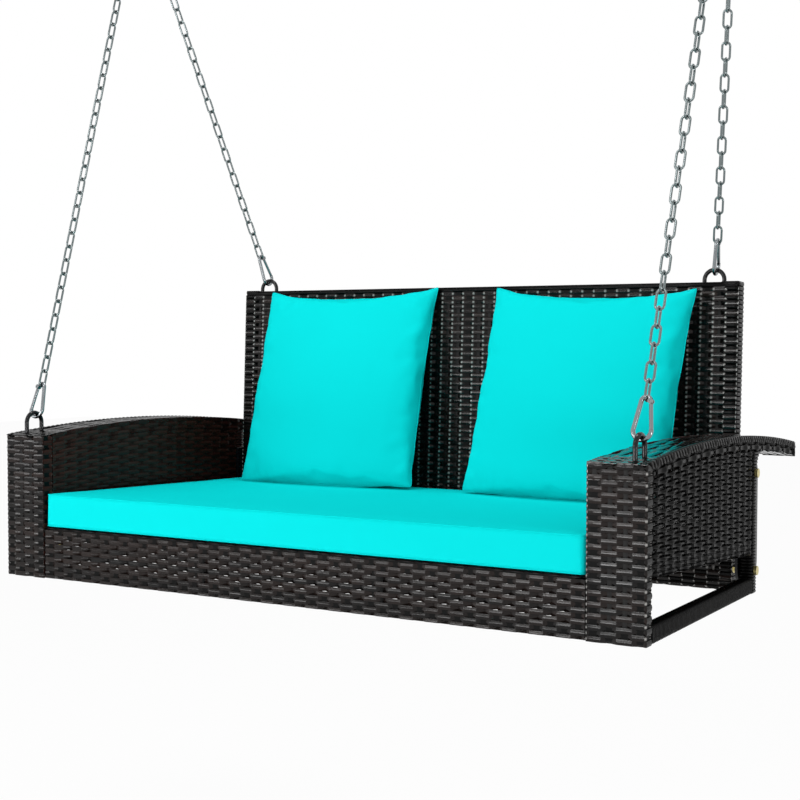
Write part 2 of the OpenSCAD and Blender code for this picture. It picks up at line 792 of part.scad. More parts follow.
// the hook lies in its X-Z plane, the middle of its wide end's wire on the origin
module hook_body() {
    difference() {
        union() {
            translate([0, 0, hook_wide_r]) rotate([0, flare, 0]) translate([-hook_wide_r, 0, 0]) hook_wire_shape();
            hook_side_line() translate([0, 0, gate_len])
                rotate([90, 0, 0]) cylinder(d = ear_d, h = hook_wire + eps, center = true, $fn = round_fn);
        }
        hook_side_line() translate([0, 0, gate_len]) {
            cube([2 * ear_d, ear_gap, 1.2 * ear_d], center = true);
            rotate([90, 0, 0])
                cylinder(d = gate_pin_d + 2 * run_fit, h = 2 * hook_wire, center = true, $fn = round_fn);
        }
    }
}

// the hook's bent wire, drawn with its closed side on the Z axis
module hook_wire_shape() {
    cylinder(d = hook_wire, h = gate_len, $fn = round_fn);
    hook_bow(hook_wide_r, 180 + 2 * flare);
    translate([0, 0, gate_len]) hook_bow(hook_narrow_r, 2 * flare - 180);
}

// a bow of wire that starts at the origin and turns through an angle
module hook_bow(r, angle) {
    translate([r, 0, 0]) rotate([90, 0, 0]) rotate([0, 0, 180])
        rotate_extrude(angle = angle, $fn = 2 * round_fn)
            translate([r, 0]) circle(d = hook_wire, $fn = round_fn);
}

// along the hook's right-hand side, from its wide end's tangent point upwards
module hook_side_line() {
    translate([hook_wide_r * cos(flare), 0, hook_wide_r + hook_wide_r * sin(flare)])
        rotate([0, -flare, 0]) children();
}

// the gate, with its knuckle on the pin
module hook_gate() {
    hook_side_line() difference() {
        union() {
            translate([0, 0, catch_gap])
                cylinder(d = gate_d, h = gate_len - ear_d / 2 - 2 * catch_gap, $fn = round_fn);
            translate([0, 0, gate_len]) rotate([90, 0, 0])
                cylinder(d = knuckle_d, h = knuckle_t, center = true, $fn = round_fn);
            // flat tongue that carries the knuckle
            translate([-gate_d / 3, -knuckle_t / 2, gate_len / 2])
                cube([gate_d * 2 / 3, knuckle_t, gate_len / 2]);
        }
        translate([0, 0, gate_len]) rotate([90, 0, 0])
            cylinder(d = gate_pin_d + 2 * run_fit, h = 2 * hook_wire, center = true, $fn = round_fn);
    }
}

module hook_pin() {
    hook_side_line() translate([0, 0, gate_len]) rotate([90, 0, 0])
        cylinder(d = gate_pin_d, h = hook_wire, center = true, $fn = round_fn);
}

// ---------------------------------------------------------------- chains

hang_point = [hang_x, hang_y, hang_z];
hook_rest = (eye_rod + hook_wire) / 2 + chain_slack;  // from an eye's rod to the hook's wire

// the seat's coordinates of a point given in the back's
function from_back(p) = [
    p[0],
    back_foot_y + p[1] * cos(recline) + p[2] * sin(recline),
    -back_drop - p[1] * sin(recline) + p[2] * cos(recline)
];

// where a hook's wire rests, pulled towards the hanger under a point of an eye's rod
function under_rod(rod) = rod - hook_rest * (hang_point - rod) / norm(hang_point - rod);

// the point of each eye's bow that the pull draws the hook to
front_bow = [front_eye_x, front_eye_y, front_eye_z];
front_pull = atan2(hang_y - front_bow[1], hang_z - front_bow[2]);
front_eye_point = under_rod(front_bow + eye_bow_r * [0, sin(front_pull), cos(front_pull)]);
back_bow = [back_eye_x, back_d / 2, back_h + back_eye_rise];
back_pull = atan2(hang_x - back_eye_x, hang_z - from_back(back_bow)[2]);
back_eye_point = under_rod(from_back(back_bow + eye_bow_r * [sin(back_pull), 0, cos(back_pull)]));

// centre of the link plate's hole on the way from the pin to an eye
function plate_hole(e) =
    let (slope = atan2(e[1] - hang_y, hang_z - e[2]))
    [hang_x, hang_y + link_plate_reach * sin(slope), hang_z - link_plate_reach * cos(slope)];

front_hole = plate_hole(front_eye_point);
back_hole = plate_hole(back_eye_point);

// the two turns that lay +Z along the way from a to b
function lean_y(a, b) = asin((b[0] - a[0]) / norm(b - a));
function lean_x(a, b) = atan2(a[1] - b[1], b[2] - a[2]);

// a link along Z, its wire's centre lines in the X-Z plane, for a given inner length
module chain_link(inner) {
    bow = (link_w - link_wire) / 2;
    half = inner / 2 + link_wire / 2 - bow;
    for (end = [0, 1]) mirror([0, 0, end]) translate([0, 0, half])
        rotate([90, 0, 0]) rotate_extrude(angle = 180, $fn = round_fn)
            translate([bow, 0]) circle(d = link_wire, $fn = round_fn / 2);
    for (x = [-bow, bow])
        translate([x, 0, -half]) cylinder(d = link_wire, h = 2 * half, $fn = round_fn / 2);
}

link_bow_r = link_w / 2 - link_wire;     // inner radius of a link's bow

// how far a link's bow stays off a plate that it leans over, because the bow is round
function plate_stand(e, h) =
    link_bow_r - sqrt(pow(link_bow_r, 2) - pow(link_plate_t / 2, 2))
    + link_plate_t / 2 * abs(sin(lean_y(e, h)));

// links laid from a hook's narrow end at e to the link plate's hole at h; the first link
// stands across the hook, the last one across the plate, and the links take up the pitch
// that fills the way with a whole number of them
module chain(e, h, hook_turn) {
    start = hook_len - hook_wire / 2;
    way = norm(h - e) - start - chain_hole_d / 2 + plate_stand(e, h);
    count = 2 * round((way / link_pitch - hook_turn) / 2) + hook_turn;
    pitch = (way + chain_slack) / count;
    at_hook(e, h)
        for (i = [0 : count - 1])
            translate([0, 0, start + (i + 0.5) * pitch - chain_slack / 2])
                rotate([0, 0, 90 * ((count - 1 - i) % 2)]) chain_link(pitch + chain_slack);
}

module front_chain(side) {
    color("silver") part_frame() on_side(side) chain(front_eye_point, front_hole, 0);
}

module back_chain(side) {
    color("silver") part_frame() on_side(side) chain(back_eye_point, back_hole, 1);
}

module at_front_hook(side) {
    part_frame() on_side(side) at_hook(front_eye_point, front_hole) children();
}

module at_back_hook(side) {
    part_frame() on_side(side) at_hook(back_eye_point, back_hole) rotate([0, 0, 90]) children();
}

module front_hook(side) color("silver") at_front_hook(side) hook_body();

module back_hook(side) color("silver") at_back_hook(side) hook_body();

module front_gate(side) color("silver") at_front_hook(side) hook_gate();

module back_gate(side) color("silver") at_back_hook(side) hook_gate();

module hook_pins() {
    color("silver") for (side = [-1, 1]) {
        at_front_hook(side) hook_pin();
        at_back_hook(side) hook_pin();
    }
}

// ---------------------------------------------------------------- hangers

// the swinging plate: two straps from the pin to the chain holes
module link_plate(side) {
    color("gray") part_frame() on_side(side)
        along_x(hang_x - link_plate_t / 2, hang_x + link_plate_t / 2)
            difference() {
                union() {
                    strap_profile(front_hole);
                    strap_profile(back_hole);
                }
                translate([hang_y, hang_z]) circle(d = pin_d + 2 * run_fit, $fn = round_fn);
                for (h = [front_hole, back_hole])
                    translate([h[1], h[2]]) circle(d = chain_hole_d, $fn = round_fn);
            }
}

module strap_profile(h) {
    translate([hang_y, hang_z])
        rotate(atan2(h[2] - hang_z, h[1] - hang_y)) {
            circle(d = strap_w, $fn = 2 * round_fn);
            translate([0, -strap_w / 2]) square([link_plate_reach, strap_w]);
            translate([link_plate_reach, 0]) circle(d = strap_w, $fn = 2 * round_fn);
        }
}

cheek_rim = 9;            // metal round the pin in a hanger's cheek

// ceiling plate with two cheeks for the pin
module hanger(side) {
    gap = link_plate_t / 2 + seat_gap;
    cheek_d = pin_d + 2 * cheek_rim;
    color("gray") part_frame() on_side(side) translate(hang_point)
        difference() {
            union() {
                translate([-ceiling_plate_w / 2, -ceiling_plate_l / 2, cheek_h])
                    cube([ceiling_plate_w, ceiling_plate_l, ceiling_plate_t]);
                for (x = [gap, -gap - cheek_t]) {
                    translate([x, 0, 0])
                        rotate([0, 90, 0]) cylinder(d = cheek_d, h = cheek_t, $fn = 2 * round_fn);
                    translate([x, -cheek_d / 2, 0]) cube([cheek_t, cheek_d, cheek_h + ceiling_plate_t / 2]);
                }
            }
            rotate([0, 90, 0])
                cylinder(d = pin_d + 2 * run_fit, h = ceiling_plate_w, center = true, $fn = round_fn);
            for (y = [-screw_spacing / 2, screw_spacing / 2])
                translate([0, y, cheek_h - eps])
                    cylinder(d = screw_hole_d, h = ceiling_plate_t + 2 * eps, $fn = round_fn);
        }
}

cheek_out = link_plate_t / 2 + seat_gap + cheek_t;  // outer face of a cheek from the middle
pin_head_d = 1.7 * pin_d;

module hanger_pins() {
    color("silver") part_frame() for (side = [-1, 1]) on_side(side)
        translate(hang_point + [cheek_out, 0, 0])
            bolt(2 * cheek_out + nut_t + thread_out, pin_d, pin_head_d, bolt_head_t);
}

module hanger_nuts() {
    color("silver") part_frame() for (side = [-1, 1]) on_side(side)
        translate(hang_point - [cheek_out, 0, 0]) nut(pin_d);
}

// ---------------------------------------------------------------- cushions

cushion_draw = 4;                        // how far its sides are drawn in at their middles
cushion_round = 14;                      // rounding of its long edges
cushion_corner = 26;                     // rounding of its corners in plan
cushion_n = 18;                          // points along each quarter of its outline
outline_tol = 0.01;                      // slack in telling which side a point lies on
straight_share = 0.3;                    // share of those points along each straight stretch
edge_steps = 3;                          // steps round its rounded edges
cushion_side_gap = 2;                    // clear of each front post
cushion_front_gap = 5;                   // behind the apron
cushion_w = 2 * (arm_in_x - cushion_side_gap);
cushion_y0 = apron_recess + cushion_front_gap;
cushion_d = inner_panel_y - cushion_y0;

// share of the crown that is reached at an inset from the cushion's edge
function crown_share(inset) = sin(90 * min(1, inset / (cushion_d / 2)));

// a ring of the cushion: its outline drawn in by an inset, at a height
function soft_ring(inset, z) =
    let (hx = cushion_w / 2 - inset, hy = cushion_d / 2 - inset, r = max(1, cushion_corner - inset / 2))
    [
        for (q = [0 : 3], i = [0 : cushion_n - 1])
            let (
                sx = q == 0 || q == 3 ? 1 : -1,
                sy = q < 2 ? 1 : -1,
                t = i / cushion_n,
                swap = q % 2 == 1,
                c = side_and_corner(swap ? 1 - t : t, hx, hy, r),
                in_x = cushion_draw * pow(cos(90 * min(1, abs(c[1]) / hy)), 2),
                in_y = cushion_draw * pow(cos(90 * min(1, abs(c[0]) / hx)), 2)
            )
            [
                sx * (c[0] - (c[0] > hx - r - outline_tol ? in_x : 0)),
                sy * (c[1] - (c[1] > hy - r - outline_tol ? in_y : 0)),
                z
            ]
    ];

// a quarter of a rounded rectangle: up the right side, round the corner, along the top
function side_and_corner(t, hx, hy, r) =
    t < straight_share ? [hx, (hy - r) * t / straight_share]
    : t > 1 - straight_share ? [(hx - r) * (1 - t) / straight_share, hy]
    : let (a = 90 * (t - straight_share) / (1 - 2 * straight_share))
        [hx - r + r * cos(a), hy - r + r * sin(a)];

// inset and height of each ring, from the middle of the underside to the crown
cushion_rings = concat(
    [for (i = [0 : edge_steps]) let (a = 90 * i / edge_steps)
        [cushion_round * (1 - sin(a)), cushion_round * (1 - cos(a))]],
    [for (i = [0 : edge_steps]) let (a = 90 * i / edge_steps)
        [cushion_round * (1 - cos(a)), cushion_t - cushion_round * (1 - sin(a))]],
    [for (s = [0.15, 0.35, 0.6, 0.85])
        [s * cushion_d / 2, cushion_t + cushion_crown * crown_share(s * cushion_d / 2)]]
);

module seat_cushion() {
    ring_n = 4 * cushion_n;
    rings = len(cushion_rings);
    pts = concat(
        [for (c = cushion_rings) each soft_ring(c[0], c[1])],
        [[0, 0, 0], [0, 0, cushion_t + cushion_crown]]
    );
    low = ring_n * rings;
    color("turquoise") part_frame() deck_frame()
        translate([0, cushion_y0 + cushion_d / 2, seat_gap])
            polyhedron(
                points = pts,
                faces = concat(
                    [for (k = [0 : rings - 2], i = [0 : ring_n - 1])
                        [k * ring_n + i, (k + 1) * ring_n + i, k * ring_n + (i + 1) % ring_n]],
                    [for (k = [0 : rings - 2], i = [0 : ring_n - 1])
                        [k * ring_n + (i + 1) % ring_n, (k + 1) * ring_n + i, (k + 1) * ring_n + (i + 1) % ring_n]],
                    [for (i = [0 : ring_n - 1]) [low, i, (i + 1) % ring_n]],
                    [for (i = [0 : ring_n - 1])
                        [low + 1, (rings - 1) * ring_n + (i + 1) % ring_n, (rings - 1) * ring_n + i]]
                )
            );
}

pillow_n = 20;            // cells along a pillow's side
pillow_draw = 0.055;      // share by which its sides are drawn in between the corners
pillow_edge = 0.62;       // fullness of the swell towards the seam

// a point of a pillow: u and v run over its face, side is +1 at its front
function pillow_point(u, v, side) = [
    pillow_w / 2 * u * (1 - pillow_draw * (1 - v * v) * abs(u)),
    -side * pillow_t / 2 * pow((1 - u * u) * (1 - v * v), pillow_edge),
    pillow_w / 2 * v * (1 - pillow_draw * (1 - u * u) * abs(v))
];

function pillow_index(i, j, side) =
    side > 0 || i == 0 || j == 0 || i == pillow_n || j == pillow_n
    ? i * (pillow_n + 1) + j
    : (pillow_n + 1) * (pillow_n + 1) + (i - 1) * (pillow_n - 1) + j - 1;

pillow_points = concat(
    [for (i = [0 : pillow_n], j = [0 : pillow_n]) pillow_point(2 * i / pillow_n - 1, 2 * j / pillow_n - 1, 1)],
    [for (i = [1 : pillow_n - 1], j = [1 : pillow_n - 1])
        pillow_point(2 * i / pillow_n - 1, 2 * j / pillow_n - 1, -1)]
);

// the pillow leans back in the back's coordinates: its rearmost point lies just off the
// weave, its lowest just over the cushion
function leant(p) = [
    p[0],
    p[1] * cos(pillow_lean) + p[2] * sin(pillow_lean),
    p[2] * cos(pillow_lean) - p[1] * sin(pillow_lean)
];
pillow_back = max([for (p = pillow_points) leant(p)[1]]);
pillow_y = -pillow_back - seat_gap;
// height of the cushion's flat crown over the deck, in the back's coordinates
function cushion_top_at(y) =
    (back_drop + deck_z + cushion_t + cushion_crown + 2 * seat_gap) / cos(recline)
    - (back_foot_y + y) * tan(seat_tilt) + y * tan(recline);
pillow_z = max([for (p = pillow_points) let (q = leant(p)) cushion_top_at(pillow_y + q[1]) - q[2]]);

module pillow(x) {
    color("turquoise") part_frame() back_frame_of()
        translate([x, pillow_y, pillow_z]) rotate([-pillow_lean, 0, 0])
            polyhedron(
                points = pillow_points,
                faces = [
                    for (i = [0 : pillow_n - 1], j = [0 : pillow_n - 1], side = [1, -1], half = [0, 1])
                        let (
                            a = pillow_index(i, j, side),
                            b = pillow_index(i + 1, j, side),
                            c = pillow_index(i + 1, j + 1, side),
                            d = pillow_index(i, j + 1, side),
                            // each cell is split along the line that runs towards its nearest corner
                            to_corner = (i < pillow_n / 2) == (j < pillow_n / 2),
                            tri = to_corner
                                ? (half == 0 ? [a, b, c] : [a, c, d])
                                : (half == 0 ? [a, b, d] : [b, c, d])
                        )
                        side > 0 ? [tri[2], tri[1], tri[0]] : tri
                ]
            );
}

// ---------------------------------------------------------------- the part

hanger(-1);  // left_hanger
hanger(1);  // right_hanger
hanger_pins();
hanger_nuts();
link_plate(-1);  // left_link_plate
link_plate(1);  // right_link_plate
front_chain(-1);  // front_left_chain
front_chain(1);  // front_right_chain
back_chain(-1);  // back_left_chain
back_chain(1);  // back_right_chain
front_hook(-1);  // front_left_hook
front_hook(1);  // front_right_hook
back_hook(-1);  // back_left_hook
back_hook(1);  // back_right_hook
front_gate(-1);  // front_left_gate
front_gate(1);  // front_right_gate
back_gate(-1);  // back_left_gate
back_gate(1);  // back_right_gate
hook_pins();
front_eye(-1);  // front_left_eye
front_eye(1);  // front_right_eye
back_eye(-1);  // back_left_eye
back_eye(1);  // back_right_eye
arm_frame(-1);  // left_arm_frame
arm_frame(1);  // right_arm_frame
post_weave(-1);  // left_post_weave
post_weave(1);  // right_post_weave
top_weave(-1);  // left_top_weave
top_weave(1);  // right_top_weave
side_weave(-1);  // left_side_weave
side_weave(1);  // right_side_weave
inner_weave(-1);  // left_inner_weave
inner_weave(1);  // right_inner_weave
rail_weave(-1);  // left_rail_weave
rail_weave(1);  // right_rail_weave
seat_frame();
deck_weave();
apron_weave();
back_frame();
back_weave();
back_edge_weave();
back_bracket(-1);  // left_back_bracket
back_bracket(1);  // right_back_bracket
upright_bolts();
upright_nuts();
foot_screws();
seat_bolts();
seat_nuts();
seat_cushion();
pillow(-left_pillow_x);  // left_pillow
pillow(right_pillow_x);  // right_pillow
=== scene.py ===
# %% [markdown]
# # A woven porch swing
# Woven panels and cushions are too fine or too soft for solids, so they are made here and
# stand in for the plain ones.

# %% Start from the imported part
import math
from collections import namedtuple

import bmesh
import bpy
from mathutils import Euler, Matrix, Vector, noise as space_noise
from mathutils.bvhtree import BVHTree


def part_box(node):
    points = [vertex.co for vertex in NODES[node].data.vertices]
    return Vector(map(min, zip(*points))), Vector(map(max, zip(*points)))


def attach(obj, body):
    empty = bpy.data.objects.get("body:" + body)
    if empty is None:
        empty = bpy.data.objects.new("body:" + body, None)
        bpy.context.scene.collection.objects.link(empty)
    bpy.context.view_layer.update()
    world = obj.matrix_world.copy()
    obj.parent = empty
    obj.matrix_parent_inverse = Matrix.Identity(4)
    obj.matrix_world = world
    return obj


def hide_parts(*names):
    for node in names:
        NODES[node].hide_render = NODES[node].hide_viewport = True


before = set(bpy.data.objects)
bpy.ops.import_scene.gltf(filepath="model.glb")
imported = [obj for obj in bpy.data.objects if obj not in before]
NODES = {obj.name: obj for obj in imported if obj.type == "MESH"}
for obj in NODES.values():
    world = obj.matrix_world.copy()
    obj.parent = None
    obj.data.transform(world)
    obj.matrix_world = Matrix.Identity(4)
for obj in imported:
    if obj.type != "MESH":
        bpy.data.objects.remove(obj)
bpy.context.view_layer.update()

# %% [markdown]
# ## The camera
# The camera comes first, so that every look at the work is from the same place: a little
# above the seat, right of its middle, turned left and tipped slightly down. The long lens
# keeps the perspective gentle.

# %% Camera
camera_data = bpy.data.cameras.new("camera")
camera_data.lens = 64.03
camera_data.sensor_width = 36.0
camera_data.clip_end = 50.0
camera = bpy.data.objects.new("camera", camera_data)
camera.location = (1.35857, -2.31506, 0.45751)
camera.rotation_euler = Euler((math.radians(87.673), math.radians(-0.096), math.radians(30.545)))
bpy.context.scene.collection.objects.link(camera)
bpy.context.scene.camera = camera
print("camera at", tuple(camera.location))

# %% [markdown]
# ## Shader maths
# A material in Blender is a tree of nodes. It could be built call by call, but sums and
# products of patterns are easier to read as a formula. So a small class stands for one value
# that varies over a surface, and its operators add the nodes.

# %% Helpers that write shader maths as expressions


class Field:
    """A value that varies over a surface: one output socket of a material's node tree."""

    def __init__(self, tree, socket):
        self.tree = tree
        self.socket = socket

    def node(self, kind, settings=None, values=None, out=0):
        """Adds a node, sets its properties and its sockets, and returns an output of it."""
        made = self.tree.nodes.new(kind)
        for name, value in (settings or {}).items():
            setattr(made, name, value)
        for name, value in (values or {}).items():
            if isinstance(value, Field):
                self.tree.links.new(value.socket, made.inputs[name])
            else:
                made.inputs[name].default_value = value
        return Field(self.tree, made.outputs[out])

    def maths(self, operation, *others):
        """One step of maths on this value and others."""
        return self.node("ShaderNodeMath", {"operation": operation}, dict(enumerate((self, *others))))

    def __add__(self, other):
        return self.maths("ADD", other)

    def __mul__(self, other):
        return self.maths("MULTIPLY", other)

    def __sub__(self, other):
        return self.maths("SUBTRACT", other)

    def __rsub__(self, other):
        return (self * -1.0) + other

    def clamp(self):
        return self.node("ShaderNodeClamp", {}, {0: self, 1: 0.0, 2: 1.0})

    def mix(self, first, second):
        """Goes from one colour to the other as this value goes from 0 to 1."""
        return self.node(
            "ShaderNodeMix",
            {"data_type": "RGBA"},
            {0: self, 6: as_colour(first), 7: as_colour(second)},
            out=2,
        )


def as_colour(value):
    """A colour that a socket takes: a field as it is, three numbers with full opacity."""
    return value if isinstance(value, Field) else (*value, 1.0)


def new_material(name):
    """A material and its shader, with the nodes that read a point's place on the object."""
    material = bpy.data.materials.new(name)
    material.use_nodes = True
    tree = material.node_tree
    shader = tree.nodes["Principled BSDF"]
    place = Field(tree, tree.nodes.new("ShaderNodeTexCoord").outputs["Object"])
    return material, shader, place


def feed(shader, **fields):
    """Links fields to the shader's sockets, or sets plain numbers on them."""
    for name, value in fields.items():
        socket = shader.inputs[name.replace("_", " ")]
        if isinstance(value, Field):
            value.tree.links.new(value.socket, socket)
        elif isinstance(value, tuple):
            socket.default_value = as_colour(value)
        else:
            socket.default_value = value


def noise(place, scale, detail=2.0, stretch=None):
    """Soft random variation, at a scale in cycles per metre, stretched along the axes."""
    if stretch:
        place = place.node("ShaderNodeMapping", {}, {"Vector": place, "Scale": stretch})
    return place.node("ShaderNodeTexNoise", {}, {"Vector": place, "Scale": scale, "Detail": detail})


def bump(height, strength, distance):
    """Tilts the light's normal by a height field, which the mesh itself doesn't have."""
    values = {"Height": height, "Strength": strength, "Distance": distance}
    return height.node("ShaderNodeBump", {}, values)


print("shader helpers ready")

# %% [markdown]
# ## Light and background
# A white studio: an even world lights everything a little, and six soft lamps shape it.
# Three low lamps stand where the upper edges of the glossy strips mirror them to the
# camera, and draw the bright line along each strip. A brighter world alone would be simpler,
# but would turn the dark plastic grey.

# %% World
WORLD_LIGHT = 0.24  # strength of the world as a lamp; it is seen at full strength


def seen_white(tree):
    """One for what the camera sees, directly, in a reflection or through glass; else zero."""
    path = tree.nodes.new("ShaderNodeLightPath")
    rays = ("Is Camera Ray", "Is Glossy Ray", "Is Transmission Ray")
    camera_ray, glossy, through = (Field(tree, path.outputs[name]) for name in rays)
    return (camera_ray + glossy + through).clamp()


def light_world():
    """An even pale light, seen as white by the camera and in reflections of the background."""
    world = bpy.data.worlds.new("studio")
    world.use_nodes = True
    tree = world.node_tree
    background = tree.nodes["Background"]
    strength = seen_white(tree) * (1.0 - WORLD_LIGHT) + WORLD_LIGHT
    background.inputs["Color"].default_value = (1.0, 1.0, 1.0, 1.0)
    tree.links.new(strength.socket, background.inputs["Strength"])
    bpy.context.scene.world = world


scene = bpy.context.scene
scene.view_settings.view_transform = "Standard"
light_world()
print("world:", scene.world.name)

# %% [markdown]
# Real light comes from six places, all large enough to give soft shadows.

# %% Lamps


def area_lamp(name, place, target, size, watts):
    """A soft rectangular lamp that looks at a target."""
    data = bpy.data.lights.new(name, "AREA")
    data.shape = "RECTANGLE"
    data.size, data.size_y = size
    data.energy = watts
    lamp = bpy.data.objects.new(name, data)
    lamp.location = place
    lamp.rotation_euler = (Vector(target) - Vector(place)).to_track_quat("-Z", "Y").to_euler()
    scene.collection.objects.link(lamp)


area_lamp("key_lamp", (-0.4, -2.9, 3.0), (0.0, 0.0, 0.3), (1.4, 0.5), 23.5)
area_lamp("level_lamp", (-1.8, -3.1, 1.15), (0.0, 0.0, 0.40), (2.8, 0.28), 30.0)
area_lamp("apron_lamp", (-1.55, -3.1, -0.02), (0.0, 0.0, 0.10), (1.5, 0.20), 11.5)
area_lamp("post_lamp", (-0.5, -3.1, 0.22), (0.6, 0.0, 0.15), (0.55, 0.42), 15.0)
area_lamp("side_lamp", (3.35, -1.41, 0.17), (0.635, -0.39, 0.15), (0.22, 0.7), 18.0)
area_lamp("top_lamp", (0.0, 0.3, 3.2), (0.0, 0.0, 0.3), (1.4, 0.8), 37.0)
print("lamps:", [lamp.name for lamp in bpy.data.lights])

# %% [markdown]
# ### The floor
# The seat hangs, so the floor lies well below it. A white paint alone would come out grey
# where the lamps fade, so the camera sees it mostly glow. The rest is paint, which takes a
# trace of the seat's shadow.

# %% Floor
FLOOR_DROP = 0.55
FLOOR_HALF = 12.0
FLOOR_GLOW = 0.96  # share of the floor that glows for the camera
WHITE_PAINT = (0.93, 0.93, 0.93)


def to_mesh(bm, name):
    """Puts a finished bmesh into a new mesh."""
    mesh = bpy.data.meshes.new(name)
    bm.to_mesh(mesh)
    bm.free()
    return mesh


def floor_paint():
    """White paint that glows for the camera."""
    material, shader, _ = new_material("floor_paint")
    feed(shader, Base_Color=WHITE_PAINT, Roughness=0.9)
    tree = material.node_tree
    glow = tree.nodes.new("ShaderNodeEmission")
    glow.inputs["Strength"].default_value = 1.0
    glow.inputs["Color"].default_value = (1.0, 1.0, 1.0, 1.0)
    mixer = tree.nodes.new("ShaderNodeMixShader")
    glowing = seen_white(tree) * FLOOR_GLOW
    tree.links.new(glowing.socket, mixer.inputs[0])
    tree.links.new(shader.outputs[0], mixer.inputs[1])
    tree.links.new(glow.outputs[0], mixer.inputs[2])
    tree.links.new(mixer.outputs[0], tree.nodes["Material Output"].inputs["Surface"])
    return material


def make_floor():
    bm = bmesh.new()
    down = Matrix.Translation((0, 0, -FLOOR_DROP))
    bmesh.ops.create_grid(bm, x_segments=1, y_segments=1, size=FLOOR_HALF, matrix=down)
    floor = bpy.data.objects.new("floor", to_mesh(bm, "floor"))
    scene.collection.objects.link(floor)
    floor.data.materials.append(floor_paint())


make_floor()
print("floor laid at", -FLOOR_DROP)

# %% [markdown]
# ## Metal
# Chain, hooks and hangers are zinc plated: bright, slightly cloudy, with duller patches
# where the plating is thin. The bolts have the yellow, faintly rainbow tint of chromated
# zinc. Frame and brackets are powder coated black, with the fine orange-peel skin that
# powder leaves, and the welded eyes have a glossier coat. Each finish is a plain colour with
# a soft noise in it, which is enough at this size.

# %% Metal finishes


def zinc(name, tint, dull):
    """Cloudy zinc plating of a tint, with its least roughness."""
    material, shader, place = new_material(name)
    cloud = noise(place, 55.0, 3.0)
    grain = noise(place, 900.0)
    colour = cloud.mix(tuple(c * 0.82 for c in tint), tint)
    feed(shader, Base_Color=colour, Metallic=1.0, Roughness=cloud * 0.16 + dull)
    feed(shader, Normal=bump(grain, 0.12, 0.0002))
    return material


def yellow_zinc(name):
    """Chromated zinc, between a dull and a bright yellow."""
    material, shader, place = new_material(name)
    cloud = noise(place, 160.0, 3.0)
    colour = cloud.mix((0.46, 0.36, 0.10), (0.72, 0.66, 0.34))
    feed(shader, Base_Color=colour, Metallic=1.0, Roughness=cloud * 0.15 + 0.25)
    return material


def powder_coat(name, colour, rough, shine):
    """Powder paint with its fine skin, paler and duller where it is rubbed thin."""
    material, shader, place = new_material(name)
    peel = noise(place, 700.0)
    wear = noise(place, 30.0, 4.0)
    feed(shader, Base_Color=wear.mix(colour, tuple(c * 1.5 + 0.002 for c in colour)))
    feed(shader, Roughness=wear * 0.12 + rough, Normal=bump(peel, 0.15, 0.0003))
    feed(shader, Specular_IOR_Level=shine)
    return material


CHAIN_ZINC = zinc("chain_zinc", (0.19, 0.22, 0.222), 0.12)
HOOK_ZINC = zinc("hook_zinc", (0.25, 0.27, 0.28), 0.10)
HANGER_ZINC = zinc("hanger_zinc", (0.66, 0.67, 0.69), 0.30)
BOLT_ZINC = yellow_zinc("bolt_zinc")
FRAME_COAT = powder_coat("frame_coat", (0.003, 0.003, 0.003), 0.40, 0.06)
EYE_COAT = powder_coat("eye_coat", (0.005, 0.005, 0.006), 0.10, 0.25)
BRACKET_COAT = powder_coat("bracket_coat", (0.006, 0.006, 0.008), 0.18, 0.25)
print("metal finishes ready")

# %% [markdown]
# ### Which node wears which finish
# The nodes are named for what they are, so a part of the name picks the finish. The first
# finish with a part that fits counts.

# %% Give each metal node its finish
FINISHES = {
    CHAIN_ZINC: ("_chain",),
    HOOK_ZINC: ("_hook", "_gate", "hook_pins"),
    HANGER_ZINC: ("_hanger", "hanger_", "link_plate"),
    EYE_COAT: ("_eye",),
    BRACKET_COAT: ("bracket",),
    BOLT_ZINC: ("bolts", "nuts", "screws"),
    FRAME_COAT: ("frame",),
}


def finish_of(name):
    """The finish of a metal node, or None for a woven or soft one."""
    for material, keys in FINISHES.items():
        if any(key in name for key in keys):
            return material
    return None


metal = [name for name in NODES if finish_of(name)]
for name in metal:
    NODES[name].data.materials.clear()
    NODES[name].data.materials.append(finish_of(name))
print("metal nodes dressed:", len(metal))

# %% [markdown]
# ## Woven strip
# The strip is flat extruded plastic, 8 to 9 mm wide, dark brown to black, with fine ribs
# along it and a wet-looking gloss. Each strip has its own shade. One colour over the whole
# weave would look printed, so each strip carries a number, and noise of that number picks
# its shade.

# %% Strip material
STAKE_NUMBERS = 4000  # stakes are numbered from here, and are darker than the strips as painted shade
STAKE_DULL = 0.4  # how much rougher they are
PATCH_SCALE = (0.32, 3.7)  # soft patches: cycles per cell along a strip, and per number
RIB_SCALE = (0.45, 22.0)  # ribs, likewise
RIDGE_SHARP = 4.0  # the painted highlight fades over about one part in this of a strip's width, from its full strength a little beside the ridge
RIDGE_FULL = 1.3  # from full wear a little beside the ridge
# colour of the pale painted highlight on the strips' ridges, at bends and corners
PAINTED_HIGHLIGHT = (0.50, 0.49, 0.47)
DARK_STRIP = (0.0040, 0.0034, 0.0033)
BROWN_STRIP = (0.024, 0.0135, 0.0105)


def flat_noise(x, y, scale, detail):
    """Soft random variation over two values of a strip's UV map, each with its own scale."""
    point = x.node("ShaderNodeCombineXYZ", {}, {0: x * scale[0], 1: y * scale[1]})
    values = {"Vector": point, "Scale": 1.0, "Detail": detail}
    return x.node("ShaderNodeTexNoise", {"noise_dimensions": "2D"}, values)


def painted_bend_highlight(along, lane, sharp):
    """A painted highlight on a strip's ridge where it bends, at each whole cell, over one part in
    sharp of a cell to each side. A sharp of zero paints it all along."""
    from_bend = 0.5 - (along.maths("FRACT") - 0.5).maths("ABSOLUTE")
    from_ridge = (lane.maths("FRACT") - 0.5).maths("ABSOLUTE")
    return (1.0 - from_bend * sharp).clamp() * (RIDGE_FULL - from_ridge * RIDGE_SHARP).clamp()


